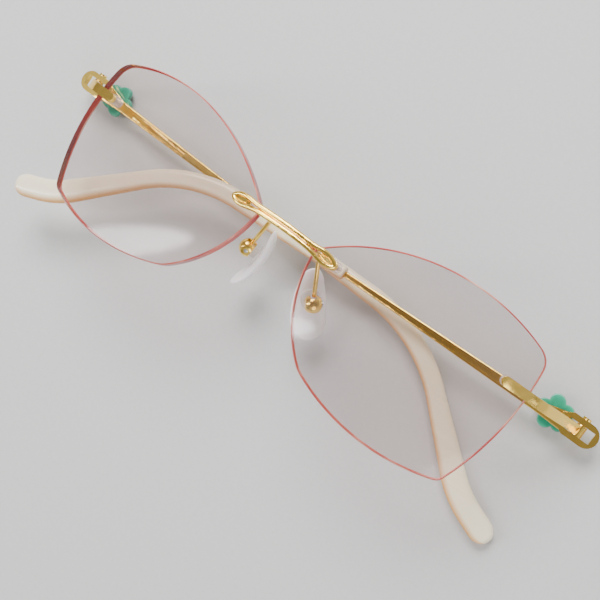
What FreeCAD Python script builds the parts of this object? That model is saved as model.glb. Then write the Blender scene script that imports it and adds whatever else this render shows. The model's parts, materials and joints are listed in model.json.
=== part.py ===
import FreeCAD, Part
import Sketcher
import math
import os

from FreeCAD import Placement, Rotation, Vector

# Rimless eyeglasses, folded, lying on their temples.
# World frame: X across the face (the wearer's left is +X), Y towards the brow, Z up out of
# the front of the lenses, z = 0 on the table that the folded temples lie on. Millimetres.
#
# Each temple has a frame of its own: x runs from the hinge to the tip, y towards the brow,
# z through the thickness of the arm.

DIMENSIONS = [
    # alias, value, meaning
    ("lens_centre_x", 34.0, "lens centre from the middle of the frame"),
    ("lens_centre_y", 2.98, "lens centre from the middle of the folded glasses, front view"),
    ("lens_height", 24.91, "front apex of each lens above the table"),
    ("lens_wrap", 6.2, "turn of each lens about the vertical, degrees"),
    ("prism_back", 12.0, "start of the lens outline behind the apex"),
    ("prism_long", 14.0, "depth that the lens outline is run through"),
    ("drill_back", 4.0, "start of a lens drill behind the front surface"),
    ("drill_long", 6.0, "length of a lens drill"),
    ("lens_curve", 110.0, "radius of the front surface"),
    ("lens_thick", 1.9, "lens thickness"),
    ("edge_bevel", 0.25, "safety bevel on the lens edge"),
    ("nasal_x", 26.6, "nasal corner from the lens centre"),
    ("nasal_y", 6.6, "nasal corner above the lens centre"),
    ("brow_x", 23.3, "outer brow corner from the lens centre"),
    ("brow_y", 15.2, "outer brow corner above the lens centre"),
    ("cheek_x", 19.9, "outer cheek corner from the lens centre"),
    ("cheek_y", 16.4, "outer cheek corner below the lens centre"),
    ("nose_x", 15.2, "nose side corner from the lens centre"),
    ("nose_y", 15.3, "nose side corner below the lens centre"),
    ("brow_curve", 46.0, "radius of the brow edge"),
    ("temple_curve", 60.0, "radius of the temple side edge"),
    ("cheek_curve", 47.0, "radius of the cheek edge"),
    ("nose_curve", 29.0, "radius of the nose side edge"),
    ("corner_nasal", 1.2, "rounding of the nasal corner"),
    ("corner_brow", 4.0, "rounding of the brow corner"),
    ("corner_cheek", 2.0, "rounding of the cheek corner"),
    ("corner_nose", 8.0, "rounding of the nose side corner"),
    ("hole_pitch", 2.7, "spacing of the two holes of a mount"),
    ("hole_width", 1.5, "diameter of a lens hole"),
    ("bridge_mount_u", 22.4, "bridge mount from the lens centre, towards the nose"),
    ("bridge_mount_v", 5.9, "bridge mount above the lens centre"),
    ("endpiece_mount_u", 20.4, "endpiece mount from the lens centre, towards the temple"),
    ("endpiece_mount_v", 7.2, "endpiece mount above the lens centre"),
    ("pin_width", 0.9, "diameter of the pins pressed into the bushes"),
    ("bush_long", 4.6, "length of a bush flange"),
    ("bush_wide", 2.3, "width of a bush flange"),
    ("bush_flange", 0.6, "thickness of a bush flange"),
    ("bush_fit", 0.02, "a bush tube is smaller than its lens hole by this"),
    ("seat_plate", 0.9, "thickness of a bridge seat"),
    ("seat_gap", 0.15, "gap between metal and lens"),
    ("bar_wide", 2.1, "height of the endpiece bar"),
    ("bar_thick", 0.95, "thickness of the endpiece bar"),
    ("bar_overhang", 1.2, "bar past the inner pin"),
    ("bar_corner", 6.8, "corner of the bar's bend from the endpiece mount"),
    ("bar_nose_flat", 0.06, "half of the flat left on the rounded inner end of the bar"),
    ("bar_bend", 9.0, "bend radius of the bar"),
    ("hinge_reach", 19.2, "hinge axis from the endpiece mount, along the bar"),
    ("hinge_drop", 11.1, "hinge axis behind the endpiece mount"),
    ("barrel_play", 0.1, "play of the barrel along the hinge screw"),
    ("overcut", 1.0, "run of a cut past the face that it leaves by"),
    ("barrel_width", 2.3, "diameter of the hinge barrel"),
    ("slot_wide", 2.6, "width of the slot in the ring"),
    ("slot_long", 5.8, "length of the slot in the ring"),
    ("ring_wide", 5.2, "width of the ring"),
    ("ring_front", 4.3, "end of the ring past the hinge axis"),
    ("ring_back", 4.7, "ring behind the hinge axis"),
    ("ring_thick", 1.7, "thickness of the ring"),
    ("screw_width", 1.2, "diameter of the hinge screw"),
    ("screw_head", 1.9, "diameter of the hinge screw head"),
    ("screw_seat", 0.02, "gap under the head of the hinge screw"),
    ("screw_head_high", 0.5, "height of the hinge screw head"),
    ("driver_slot_wide", 0.24, "width of the slot in a screw head"),
    ("driver_slot_deep", 0.25, "depth of the slot in a screw head"),
    ("running_fit", 0.08, "added to a hole that turns on a screw"),
    ("ring_taper", 2.0, "length over which the ring narrows to the arm"),
    ("arm_overlap", 2.2, "run of the arm inside the ring"),
    ("arm_shoulder", 0.3, "the arm starts narrower than the ring by this, each side"),
    ("arm_round", 0.3, "rounding of the long edges of the arm"),
    ("core_overlap", 0.5, "run of the wire core inside the arm"),
    ("arm_root", 2.7, "height of the arm behind the ring"),
    ("arm_end", 1.4, "height of the arm where the tip starts"),
    ("arm_thick", 1.1, "thickness of the arm"),
    ("arm_start", 8.5, "where the ring has narrowed to the arm"),
    ("arm_long", 58.5, "where the tip starts"),
    ("arm_drop", 0.7, "fall of the arm from the hinge to where the ring ends"),
    ("arm_fall", 1.9, "fall of the arm from the hinge to the tip start"),
    ("panel_start", 13.0, "start of the recessed panel on the inner face"),
    ("panel_long", 17.0, "length of the recessed panel"),
    ("panel_wide", 1.3, "width of the recessed panel"),
    ("panel_taper", 0.8, "far end of the recessed panel, as a share of its width"),
    ("panel_deep", 0.2, "depth of the recessed panel"),
    ("core_width", 1.2, "diameter of the wire core in the tip"),
    ("core_fit", 0.06, "added to the bore of the tip"),
    ("tip_bend_x", 100.5, "corner of the temple bend from the hinge"),
    ("tip_bend_fall", 2.6, "corner of the temple bend below the hinge"),
    ("bend_radius", 36.0, "radius of the temple bend"),
    ("core_end_x", 121.0, "end of the wire core from the hinge"),
    ("core_end_fall", 20.93, "end of the wire core below the hinge"),
    ("tip_end_x", 136.0, "end of the tip from the hinge"),
    ("tip_end_fall", 29.6, "end of the tip below the hinge"),
    ("paddle_x", 127.0, "corner of the paddle at the end of the tip from the hinge"),
    ("paddle_fall", 26.3, "corner of the paddle below the hinge"),
    ("paddle_wide", 5.6, "height of the tip at the corner of the paddle"),
    ("paddle_radius", 24.0, "radius of the turn into the paddle"),
    ("tip_end_curve", 3.0, "radius of the round end of the tip"),
    ("tip_nose_round", 1.5, "rounding where the sides meet the round end"),
    ("tip_start_wide", 3.1, "height of the tip at its start"),
    ("tip_bend_wide", 4.3, "height of the tip at the bend"),
    ("tip_end_wide", 5.6, "height of the tip near its end"),
    ("tip_thick", 3.0, "thickness of the tip"),
    ("tip_round", 1.25, "rounding of the long edges of the tip"),
    ("inner_tilt", 3.0, "tilt of the temple folded first, towards the lenses, degrees"),
    ("outer_tilt", 1.2, "tilt of the temple folded last, away from the lenses, degrees"),
    ("flower_x", 5.8, "flower from the hinge axis"),
    ("lobe_width", 3.5, "diameter of one petal"),
    ("lobe_offset", 2.35, "petal centre from the flower centre"),
    ("flower_hub", 4.6, "diameter of the flower hub"),
    ("flower_thick", 2.0, "thickness of the flower"),
    ("flower_round", 0.7, "rounding of the petals"),
    ("hub_thick", 1.6, "thickness of the flower hub, where the rivet head sits"),
    ("collar_width", 2.0, "diameter of the collar under the flower"),
    ("collar_thick", 0.9, "thickness of the collar"),
    ("rivet_width", 1.0, "diameter of the flower rivet"),
    ("rivet_head", 2.2, "diameter of the rivet head"),
    ("rivet_flat", 0.25, "radius of the flat on top of the rivet head"),
    ("rivet_curve", 1.65, "radius of the dome of the rivet head"),
    ("rivet_dome", 0.7, "height of the rivet head"),
    ("strand", 1.05, "diameter of a bridge strand"),
    ("bridge_half", 13.6, "half the length of the bridge"),
    ("bridge_y", 5.9, "bridge ends above the lens centre"),
    ("bridge_arch", 0.8, "rise of the bridge towards the brow"),
    ("bridge_lift", 1.25, "strand centre in front of the lens apex, at the bridge ends"),
    ("bridge_bow", 1.6, "more of the same at the middle"),
    ("strand_pitch", 1.1, "spacing of the strands at the middle"),
    ("eye_pitch", 2.1, "widest spacing of the strands in the eye"),
    ("eye_x", 10.8, "middle of the eye from the middle of the bridge"),
    ("eye_long", 2.6, "length over which the strands part into the eye"),
    ("arm_wire", 1.0, "diameter of the pad arm"),
    ("arm_in_box", 0.3, "run of the pad arm inside the pad box"),
    ("pad_arm_x", 6.4, "pad arm root from the middle of the frame"),
    ("pad_arm_y", 6.3, "pad arm root above the lens centre"),
    ("pad_arm_z", 1.9, "pad arm root in front of the lens apex"),
    ("pad_arm_back", 9.0, "straight run of the pad arm"),
    ("pad_arm_bend", 3.0, "bend radius of the pad arm"),
    ("left_pad_x", 10.3, "screw of the wearer's left pad from the middle of the frame"),
    ("right_pad_x", 9.2, "screw of the wearer's right pad from the middle of the frame"),
    ("left_pad_y", -3.7, "screw of the wearer's left pad above the lens centre"),
    ("right_pad_y", -2.2, "screw of the wearer's right pad above the lens centre"),
    ("pad_depth", 12.4, "pad screw behind the lens apex"),
    ("box_ball", 4.2, "diameter of the ball that the pad box is cut from"),
    ("box_wide", 3.5, "width of the pad box across the screw"),
    ("box_high", 3.3, "height of the pad box"),
    ("box_back", 1.1, "flat of the pad box behind the screw axis"),
    ("box_slot", 1.3, "slot of the pad box"),
    ("box_slot_deep", 1.25, "slot behind the screw axis"),
    ("pad_screw", 0.9, "diameter of the pad screw"),
    ("pad_screw_head", 1.5, "diameter of the pad screw head"),
    ("pad_screw_head_high", 0.35, "height of the pad screw head"),
    ("tab_thick", 1.2, "thickness of the tab of the pad insert"),
    ("tab_width", 2.0, "diameter of the round end of the tab"),
    ("boss_width", 4.6, "diameter of the boss of the pad insert"),
    ("boss_thick", 0.7, "thickness of the boss of the pad insert"),
    ("boss_drop", 3.0, "face of the pad from the screw axis"),
    ("pad_long", 17.0, "length of a nose pad"),
    ("pad_wide", 8.0, "width of a nose pad"),
    ("pad_top_wide", 4.2, "width of a nose pad near its upper end"),
    ("pad_thick", 1.9, "thickness of a nose pad"),
    ("pad_flank", 26.0, "radius of the long sides of a nose pad"),
    ("pad_shoulder", 1.5, "rounding where the ends of a nose pad meet its sides"),
    ("pad_round", 0.8, "rounding of a nose pad"),
    ("pad_above", 7.5, "nose pad above the screw axis"),
    ("left_pad_splay", 24.0, "lower end of the wearer's left pad outward, degrees"),
    ("right_pad_splay", 17.0, "lower end of the wearer's right pad outward, degrees"),
    ("pad_pitch", 24.0, "lower end of each pad backward, degrees"),
    ("left_pad_turn", 60.0, "turn of the wearer's left pad about its length, degrees"),
    ("right_pad_turn", 24.0, "turn of the wearer's right pad about its length, degrees"),
]

STRAND_POINTS = 28
PETALS = 5
CORE_START = "Size.arm_long-Size.core_overlap"
HALF_ROUND_EASE = 1.001
# how the edges to be rounded are told apart, and the least volume that counts as a cut
LEAST_CUT = 1e-6
FLAT = 0.01
SHORTEST_UPRIGHT = 0.1
LARGEST_LEAN = 0.5
THROUGH_LEAN = 0.3
NEAR_CORNER = 1.0
LEFT, RIGHT = 1, -1
SIDE_NAME = {LEFT: "left", RIGHT: "right"}
Y_AXIS = Vector(0, 1, 0)
Z_AXIS = Vector(0, 0, 1)

doc = FreeCAD.newDocument("RimlessEyeglasses")
sheet = doc.addObject("Spreadsheet::Sheet", "Size")


def fill_sheet():
    """One row per driving dimension: its meaning in column A, its value in column B."""
    for row, (alias, value, meaning) in enumerate(DIMENSIONS, start=1):
        sheet.set(f"A{row}", meaning)
        sheet.set(f"B{row}", str(value))
        sheet.setAlias(f"B{row}", alias)
    doc.recompute()


def number(expression):
    """The present value of an expression on the sheet."""
    value = sheet.evalExpression(str(expression))
    return float(getattr(value, "Value", value))


def size(alias):
    return number(f"Size.{alias}")


def refresh(item):
    """Bring one object and what it is made from up to date."""
    doc.recompute([item])


def bind(target, prop, expression):
    target.setExpression(prop, str(expression))


# ---------------------------------------------------------------- bodies and sketches

def new_body(label, placement=None):
    body = doc.addObject("PartDesign::Body", label)
    body.Label = label
    if placement is not None:
        body.Placement = placement
    return body


def new_sketch(body, name, role, offset="0"):
    """A sketch on one of the body's own origin planes, moved along the plane's normal."""
    sketch = body.newObject("Sketcher::SketchObject", name)
    plane = [item for item in body.Origin.OriginFeatures if item.Role == role][0]
    sketch.AttachmentSupport = [(plane, "")]
    sketch.MapMode = "FlatFace"
    sketch.AttachmentOffset = Placement(Vector(0, 0, number(offset)), Rotation())
    bind(sketch, "AttachmentOffset.Base.z", offset)
    return sketch


def fix_value(sketch, kind, references, expression):
    """Add one dimension to a sketch and bind it to the sheet."""
    index = sketch.addConstraint(Sketcher.Constraint(kind, *references, number(expression)))
    bind(sketch, f"Constraints[{index}]", expression)


def fix_point(sketch, curve, end, x, y):
    fix_value(sketch, "DistanceX", (-1, 1, curve, end), x)
    fix_value(sketch, "DistanceY", (-1, 1, curve, end), y)


def add_circle(sketch, x, y, diameter):
    centre = Vector(number(x), number(y), 0)
    curve = sketch.addGeometry(Part.Circle(centre, Z_AXIS, number(diameter) / 2), False)
    fix_point(sketch, curve, 3, x, y)
    fix_value(sketch, "Diameter", (curve,), diameter)
    return curve


def bulge_point(start, end, radius):
    """The middle of an arc from start to end; a positive radius bulges to the right."""
    chord = end.sub(start)
    half = chord.Length / 2
    sagitta = abs(radius) - math.sqrt(radius ** 2 - half ** 2)
    right = Vector(chord.y, -chord.x, 0).normalize()
    middle = start.add(end).multiply(0.5)
    return middle.add(right.multiply(math.copysign(sagitta, radius)))


def half_round(width):
    """The radius of a half circle across a width, a hair larger so that it closes."""
    return f"({width})/2*{HALF_ROUND_EASE}"


def nearest_end(sketch, curve, point):
    gaps = [(sketch.getPoint(curve, end).sub(point).Length, end) for end in (1, 2)]
    return min(gaps)[1]


def add_path(sketch, corners, curves, closed):
    """Lines and arcs through corners. Each entry of curves is None for a line, or the
    expression of an arc's radius, negative where the arc bulges to the left."""
    points = [Vector(number(x), number(y), 0) for x, y in corners]
    pieces = []
    count = len(points) if closed else len(points) - 1
    for index in range(count):
        start = points[index]
        end = points[(index + 1) % len(points)]
        radius = curves[index]
        if radius is None:
            shape = Part.LineSegment(start, end)
        else:
            middle = bulge_point(start, end, number(radius))
            shape = Part.Arc(start, middle, end)
        pieces.append(sketch.addGeometry(shape, False))
    for index, curve in enumerate(pieces):
        start_end = nearest_end(sketch, curve, points[index])
        fix_point(sketch, curve, start_end, *corners[index])
        following = (index + 1) % len(pieces)
        last = index == len(pieces) - 1
        if last and not closed:
            fix_point(sketch, curve, 3 - start_end, *corners[-1])
        else:
            joint = points[(index + 1) % len(points)]
            here = nearest_end(sketch, curve, joint)
            there = nearest_end(sketch, pieces[following], joint)
            sketch.addConstraint(
                Sketcher.Constraint("Coincident", curve, here, pieces[following], there))
        if curves[index] is not None:
            radius = curves[index].lstrip("-")
            fix_value(sketch, "Radius", (curve,), radius)
    return pieces


def add_bent_path(sketch, start, corner, end, radius):
    """Line, tangent arc and line: a polyline of three points with its corner rounded."""
    first, turn, last = [Vector(number(x), number(y), 0) for x, y in (start, corner, end)]
    back = first.sub(turn).normalize()
    ahead = last.sub(turn).normalize()
    half_angle = back.getAngle(ahead) / 2
    reach = number(radius) / math.tan(half_angle)
    centre = turn.add(back.add(ahead).normalize().multiply(number(radius) / math.sin(half_angle)))
    enter = turn.add(Vector(back).multiply(reach))
    leave = turn.add(Vector(ahead).multiply(reach))
    middle = centre.add(turn.sub(centre).normalize().multiply(number(radius)))
    line_in = sketch.addGeometry(Part.LineSegment(first, enter), False)
    arc = sketch.addGeometry(Part.Arc(enter, middle, leave), False)
    line_out = sketch.addGeometry(Part.LineSegment(leave, last), False)
    guide_in = sketch.addGeometry(Part.LineSegment(enter, turn), True)
    guide_out = sketch.addGeometry(Part.LineSegment(turn, leave), True)
    fix_point(sketch, line_in, 1, *start)
    fix_point(sketch, line_out, 2, *end)
    fix_point(sketch, guide_in, 2, *corner)
    arc_in = nearest_end(sketch, arc, enter)
    links = [("Coincident", (guide_out, 1, guide_in, 2)),
             ("Coincident", (guide_in, 1, line_in, 2)),
             ("Coincident", (guide_out, 2, line_out, 1)),
             ("Tangent", (line_in, 2, arc, arc_in)),
             ("Tangent", (line_out, 1, arc, 3 - arc_in)),
             ("Parallel", (line_in, guide_in)),
             ("Parallel", (line_out, guide_out))]
    for kind, references in links:
        sketch.addConstraint(Sketcher.Constraint(kind, *references))
    fix_value(sketch, "Radius", (arc,), radius)


# ---------------------------------------------------------------- features

def pad(body, name, sketch, length, symmetric=False, reversed_side=False):
    feature = body.newObject("PartDesign::Pad", name)
    feature.Profile = sketch
    feature.Length = number(length)
    bind(feature, "Length", length)
    feature.SideType = "Symmetric" if symmetric else "One side"
    feature.Reversed = reversed_side
    refresh(body)
    return feature


def pocket(body, name, sketch, length=None, symmetric=False, reversed_side=False):
    """Cut a sketch into the body, through everything when no length is given."""
    before = body.Shape.Volume
    feature = body.newObject("PartDesign::Pocket", name)
    feature.Profile = sketch
    if length is None:
        feature.Type = "ThroughAll"
    else:
        feature.Length = number(length)
        bind(feature, "Length", length)
    feature.SideType = "Symmetric" if symmetric else "One side"
    feature.Reversed = reversed_side
    refresh(body)
    if not body.Shape.Volume < before - LEAST_CUT:
        raise ValueError(f"{name} cuts nothing")
    return feature


def pipe(body, name, profile, spine):
    feature = body.newObject("PartDesign::AdditivePipe", name)
    feature.Profile = profile
    feature.Spine = spine
    refresh(body)
    return feature


def fillet(body, name, radius, wanted):
    """Round the edges of the body's last feature for which wanted(edge) is true."""
    base = body.Tip
    names = [f"Edge{index}" for index, edge in enumerate(base.Shape.Edges, start=1)
             if wanted(edge)]
    feature = body.newObject("PartDesign::Fillet", name)
    feature.Base = (base, names)
    feature.Radius = number(radius)
    bind(feature, "Radius", radius)
    refresh(body)
    return feature


def upright_near(x, y):
    """Picks the edge that runs along z beside the point x, y."""
    def wanted(edge):
        first, last = edge.Vertexes[0].Point, edge.Vertexes[-1].Point
        flat = math.hypot(first.x - last.x, first.y - last.y)
        close = math.hypot(first.x - x, first.y - y)
        rises = abs(first.z - last.z) > SHORTEST_UPRIGHT
        return rises and flat < LARGEST_LEAN and close < NEAR_CORNER
    return wanted


def cylinder(name, diameter, length, placement):
    item = doc.addObject("Part::Cylinder", name)
    bind(item, "Radius", f"({diameter})/2")
    bind(item, "Height", length)
    item.Placement = placement
    return item


def combine(kind, label, base, tools):
    """A Part boolean of kind Cut, Common or MultiFuse under a label of its own."""
    item = doc.addObject(f"Part::{kind}", label)
    item.Label = label
    if kind == "MultiFuse":
        item.Shapes = [base] + tools
    else:
        item.Base = base
        item.Tool = tools[0] if len(tools) == 1 else combine(
            "MultiFuse", f"{label}_tools", tools[0], tools[1:])
    refresh(item)
    return item


# ---------------------------------------------------------------- where things are

def lens_placement():
    """The wearer's left lens: its apex, turned by the wrap so its outer side goes back."""
    apex = Vector(size("lens_centre_x"), size("lens_centre_y"), size("lens_height"))
    return Placement(apex, Rotation(Y_AXIS, size("lens_wrap")))


def mount_placement(side, across, up):
    """A frame on the front of a lens, z along its normal, x towards the temple.
    across is measured from the lens centre, positive towards the temple."""
    curve = size("lens_curve")
    depth = math.sqrt(curve ** 2 - across ** 2 - up ** 2) - curve
    lean = math.degrees(math.asin(across / curve))
    local = Placement(Vector(across, up, depth), Rotation(Y_AXIS, lean))
    left = lens_placement().multiply(local)
    if side == LEFT:
        return left
    base = Vector(-left.Base.x, left.Base.y, left.Base.z)
    turn = Rotation(Y_AXIS, -(size("lens_wrap") + lean))
    return Placement(base, turn.multiply(Rotation(Z_AXIS, 180)))


def bridge_mount(side):
    return mount_placement(side, -size("bridge_mount_u"), size("bridge_mount_v"))


def endpiece_mount(side):
    return mount_placement(side, size("endpiece_mount_u"), size("endpiece_mount_v"))


def hinge_point(side):
    return endpiece_mount(side).multVec(Vector(size("hinge_reach"), 0, -size("hinge_drop")))


def temple_placement(side):
    """x from the hinge along the folded arm. The left temple is folded first and leans
    towards the lenses; the right one lies outside it and leans away."""
    if side == LEFT:
        return Placement(hinge_point(side), Rotation(Y_AXIS, 180 + size("inner_tilt")))
    return Placement(hinge_point(side), Rotation(Y_AXIS, size("outer_tilt")))


def outward(side):
    """The sign of the temple frame's z on the outer face of the arm."""
    return 1 if side == LEFT else -1


def pad_point(side):
    """Where the screw of a nose pad is."""
    name = SIDE_NAME[side]
    return Vector(side * size(f"{name}_pad_x"), number(f"Size.lens_centre_y+Size.{name}_pad_y"),
                  number("Size.lens_height-Size.pad_depth"))


def pad_placement(side):
    """Pad frame: x along the screw, y up the length of the pad, z from the pad to its box."""
    turn = size(f"{SIDE_NAME[side]}_pad_turn")
    splay = Rotation(Z_AXIS, side * size(f"{SIDE_NAME[side]}_pad_splay"))
    pitch = Rotation(Vector(1, 0, 0), size("pad_pitch"))
    roll = Rotation(Y_AXIS, side * (90 - turn))
    return Placement(pad_point(side), splay.multiply(pitch).multiply(roll))


# ---------------------------------------------------------------- lenses

def lens_corners():
    """Nasal, nose side, outer cheek and outer brow corner, counter-clockwise."""
    return [("-Size.nasal_x", "Size.nasal_y"),
            ("-Size.nose_x", "-Size.nose_y"),
            ("Size.cheek_x", "-Size.cheek_y"),
            ("Size.brow_x", "Size.brow_y")]


def make_lens_outline():
    """The edged shape of the lens: four arcs with rounded corners, run through its depth."""
    body = new_body("lens_outline", lens_placement())
    outline = new_sketch(body, "lens_outline_sketch", "XY_Plane", "-Size.prism_back")
    add_path(outline, lens_corners(), ["Size.nose_curve", "Size.cheek_curve",
                                       "Size.temple_curve", "Size.brow_curve"], True)
    pad(body, "lens_prism", outline, "Size.prism_long")
    roundings = ["corner_nasal", "corner_nose", "corner_cheek", "corner_brow"]
    for (x, y), rounding in zip(lens_corners(), roundings):
        fillet(body, f"lens_{rounding}", f"Size.{rounding}", upright_near(number(x), number(y)))
    return body


def lens_sphere(name, radius):
    """A sphere about the lens's centre of curvature, its poles and seam clear of the lens."""
    ball = doc.addObject("Part::Sphere", name)
    bind(ball, "Radius", radius)
    centre = Placement(Vector(0, 0, -size("lens_curve")),
                       Rotation(Vector(1, 0, 0), 90).multiply(Rotation(Z_AXIS, 90)))
    ball.Placement = lens_placement().multiply(centre)
    return ball


def make_lens_blank():
    """The outline cut to the front and back spheres, with a bevel round both edges."""
    front = lens_sphere("lens_front", "Size.lens_curve")
    back = lens_sphere("lens_back", "Size.lens_curve-Size.lens_thick")
    domed = combine("Common", "lens_domed", make_lens_outline(), [front])
    hollowed = combine("Cut", "lens_hollowed", domed, [back])
    bevel = doc.addObject("Part::Chamfer", "lens_blank")
    bevel.Base = hollowed
    local = lens_placement().inverse()
    width = size("edge_bevel")
    bevel.Edges = [(index, width, width)
                   for index, edge in enumerate(hollowed.Shape.Edges, start=1)
                   if not runs_through(edge, local)]
    refresh(bevel)
    return bevel


def runs_through(edge, local):
    """True for the short edges from the front of the lens to its back."""
    first, last = [local.multVec(edge.Vertexes[end].Point) for end in (0, -1)]
    return math.hypot(first.x - last.x, first.y - last.y) < THROUGH_LEAN


def drill(name, mount, offset):
    """A cylinder through the lens at one hole of a mount."""
    start = mount.multiply(Placement(Vector(offset, 0, -size("drill_back")), Rotation()))
    return cylinder(name, "Size.hole_width", "Size.drill_long", start)


def make_lenses():
    blank = make_lens_blank()
    half = size("hole_pitch") / 2
    drills = []
    for name, mount in (("bridge", bridge_mount(LEFT)), ("endpiece", endpiece_mount(LEFT))):
        for order, offset in enumerate((-half, half), start=1):
            drills.append(drill(f"{name}_drill_{order}", mount, offset))
    lens = combine("Cut", "lens_left", blank, drills)
    mirror = doc.addObject("Part::Mirroring", "lens_right")
    mirror.Label = "lens_right"
    mirror.Source = lens
    mirror.Normal = Vector(1, 0, 0)
    refresh(mirror)
    return [lens, mirror]


def make_bush(label, mount):
    """A clear double sleeve: a flange behind the lens and a tube through each hole."""
    body = new_body(label, mount)
    back = "-(Size.lens_thick+Size.seat_gap)"
    flange = new_sketch(body, f"{label}_flange_outline", "XY_Plane", back)
    half = "(Size.bush_long-Size.bush_wide)/2"
    wide = "Size.bush_wide/2"
    add_path(flange, [(f"-{half}", f"-{wide}"), (half, f"-{wide}"),
                      (half, wide), (f"-{half}", wide)],
             [None, half_round("Size.bush_wide"), None, half_round("Size.bush_wide")], True)
    pad(body, f"{label}_flange", flange, "Size.bush_flange", reversed_side=True)
    for order, place in enumerate(("-Size.hole_pitch/2", "Size.hole_pitch/2"), start=1):
        tube = new_sketch(body, f"{label}_tube_outline_{order}", "XY_Plane", back)
        add_circle(tube, place, "0", "Size.hole_width-Size.bush_fit")
        pad(body, f"{label}_tube_{order}", tube, "Size.lens_thick+Size.seat_gap")
    bores = new_sketch(body, f"{label}_bores", "XY_Plane")
    for place in ("-Size.hole_pitch/2", "Size.hole_pitch/2"):
        add_circle(bores, place, "0", "Size.pin_width")
    pocket(body, f"{label}_bore", bores)
    return body


# ---------------------------------------------------------------- bridge and endpieces

def bridge_path(steps):
    """Centre line of the strands: a closed loop whose two sides run close together in the
    middle, part into an eye near each end, and turn back round the end."""
    half, eye = size("bridge_half") - size("strand") / 2, size("eye_x")
    close, wide = size("strand_pitch") / 2, size("eye_pitch") / 2
    points = []
    for step in range(steps):
        angle = 2 * math.pi * step / steps
        x = half * math.sin(angle)
        along = abs(x) / half
        spread = math.exp(-((abs(x) - eye) / size("eye_long")) ** 2)
        gap = close + (wide - close) * spread
        past = max(0.0, (abs(x) - eye) / (half - eye))
        end = math.sqrt(max(0.0, 1 - past ** 2))
        y = math.copysign(gap * end, math.cos(angle))
        rise = size("bridge_arch") * (1 - along ** 2)
        bow = size("bridge_bow") * (1 - along ** 2)
        points.append(Vector(x, size("lens_centre_y") + size("bridge_y") + rise + y,
                             size("lens_height") + size("bridge_lift") + bow))
    return points


def sweep_loop(points, thickness):
    """Round wire along a smooth closed curve, swept in four stretches and joined."""
    curve = Part.BSplineCurve()
    curve.interpolate(Points=points, PeriodicFlag=True)
    first, last = curve.FirstParameter, curve.LastParameter
    stretches = []
    for quarter in range(4):
        start = first + (last - first) * quarter / 4
        end = first + (last - first) * (quarter + 1) / 4
        section = Part.Circle(curve.value(start), curve.tangent(start)[0], thickness / 2)
        ring = Part.Wire([section.toShape()])
        stretch = Part.Wire([curve.toShape(start, end)])
        stretches.append(stretch.makePipeShell([ring], True, True))
    return stretches[0].multiFuse(stretches[1:]).Solids[0]


def make_bridge():
    """Two strands made as one loop of wire, two seats on the lenses and four pins."""
    loop = doc.addObject("Part::Feature", "bridge_loop")
    loop.Shape = sweep_loop(bridge_path(STRAND_POINTS), size("strand"))
    fused = []
    for side in (LEFT, RIGHT):
        name = SIDE_NAME[side]
        mount = bridge_mount(side)
        seat = new_body(f"bridge_seat_{name}", mount)
        outline = new_sketch(seat, f"bridge_seat_outline_{name}", "XY_Plane", "Size.seat_gap")
        half = "(Size.bush_long-Size.bar_wide)/2"
        wide = "Size.bar_wide/2"
        add_path(outline, [(f"-{half}", f"-{wide}"), (half, f"-{wide}"),
                           (half, wide), (f"-{half}", wide)],
                 [None, half_round("Size.bar_wide"), None, half_round("Size.bar_wide")], True)
        pad(seat, f"bridge_seat_plate_{name}", outline, "Size.seat_plate")
        add_pins(seat, f"bridge_{name}")
        fused.append(seat)
    return combine("MultiFuse", "bridge", loop, fused)


def add_pins(body, name):
    """Two pins from the seat back through the bush."""
    pins = new_sketch(body, f"{name}_pin_outline", "XY_Plane", "Size.seat_gap")
    for place in ("-Size.hole_pitch/2", "Size.hole_pitch/2"):
        add_circle(pins, place, "0", "Size.pin_width")
    pad(body, f"{name}_pins", pins, "Size.seat_gap+Size.lens_thick+Size.bush_flange",
        reversed_side=True)


def make_endpiece(side):
    """A flat bar on the lens front that turns back to the hinge barrel, with two pins."""
    label = f"endpiece_{SIDE_NAME[side]}"
    body = new_body(label, endpiece_mount(side))
    middle = "Size.seat_gap+Size.bar_thick/2"
    inner = "-(Size.hole_pitch/2+Size.bar_overhang)"
    spine = new_sketch(body, f"{label}_spine", "XZ_Plane")
    add_bent_path(spine, (inner, middle), ("Size.bar_corner", middle),
                  ("Size.hinge_reach", "-Size.hinge_drop"), "Size.bar_bend")
    section = new_sketch(body, f"{label}_section", "YZ_Plane", inner)
    wide = "Size.bar_wide/2"
    add_path(section, [(f"-{wide}", "Size.seat_gap"), (wide, "Size.seat_gap"),
                       (wide, "Size.seat_gap+Size.bar_thick"),
                       (f"-{wide}", "Size.seat_gap+Size.bar_thick")], [None] * 4, True)
    pipe(body, f"{label}_bar", section, spine)
    fillet(body, f"{label}_nose", "Size.bar_wide/2-Size.bar_nose_flat",
           lambda edge: upright_near(number(inner), size("bar_wide") / 2)(edge)
           or upright_near(number(inner), -size("bar_wide") / 2)(edge))
    barrel = new_sketch(body, f"{label}_barrel_outline", "XZ_Plane")
    add_circle(barrel, "Size.hinge_reach", "-Size.hinge_drop", "Size.barrel_width")
    pad(body, f"{label}_barrel", barrel, "Size.slot_wide-Size.barrel_play", symmetric=True)
    add_pins(body, label)
    bore = new_sketch(body, f"{label}_bore_outline", "XZ_Plane")
    add_circle(bore, "Size.hinge_reach", "-Size.hinge_drop", "Size.screw_width")
    pocket(body, f"{label}_bore", bore, "Size.slot_wide+Size.overcut", symmetric=True)
    return body


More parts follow.
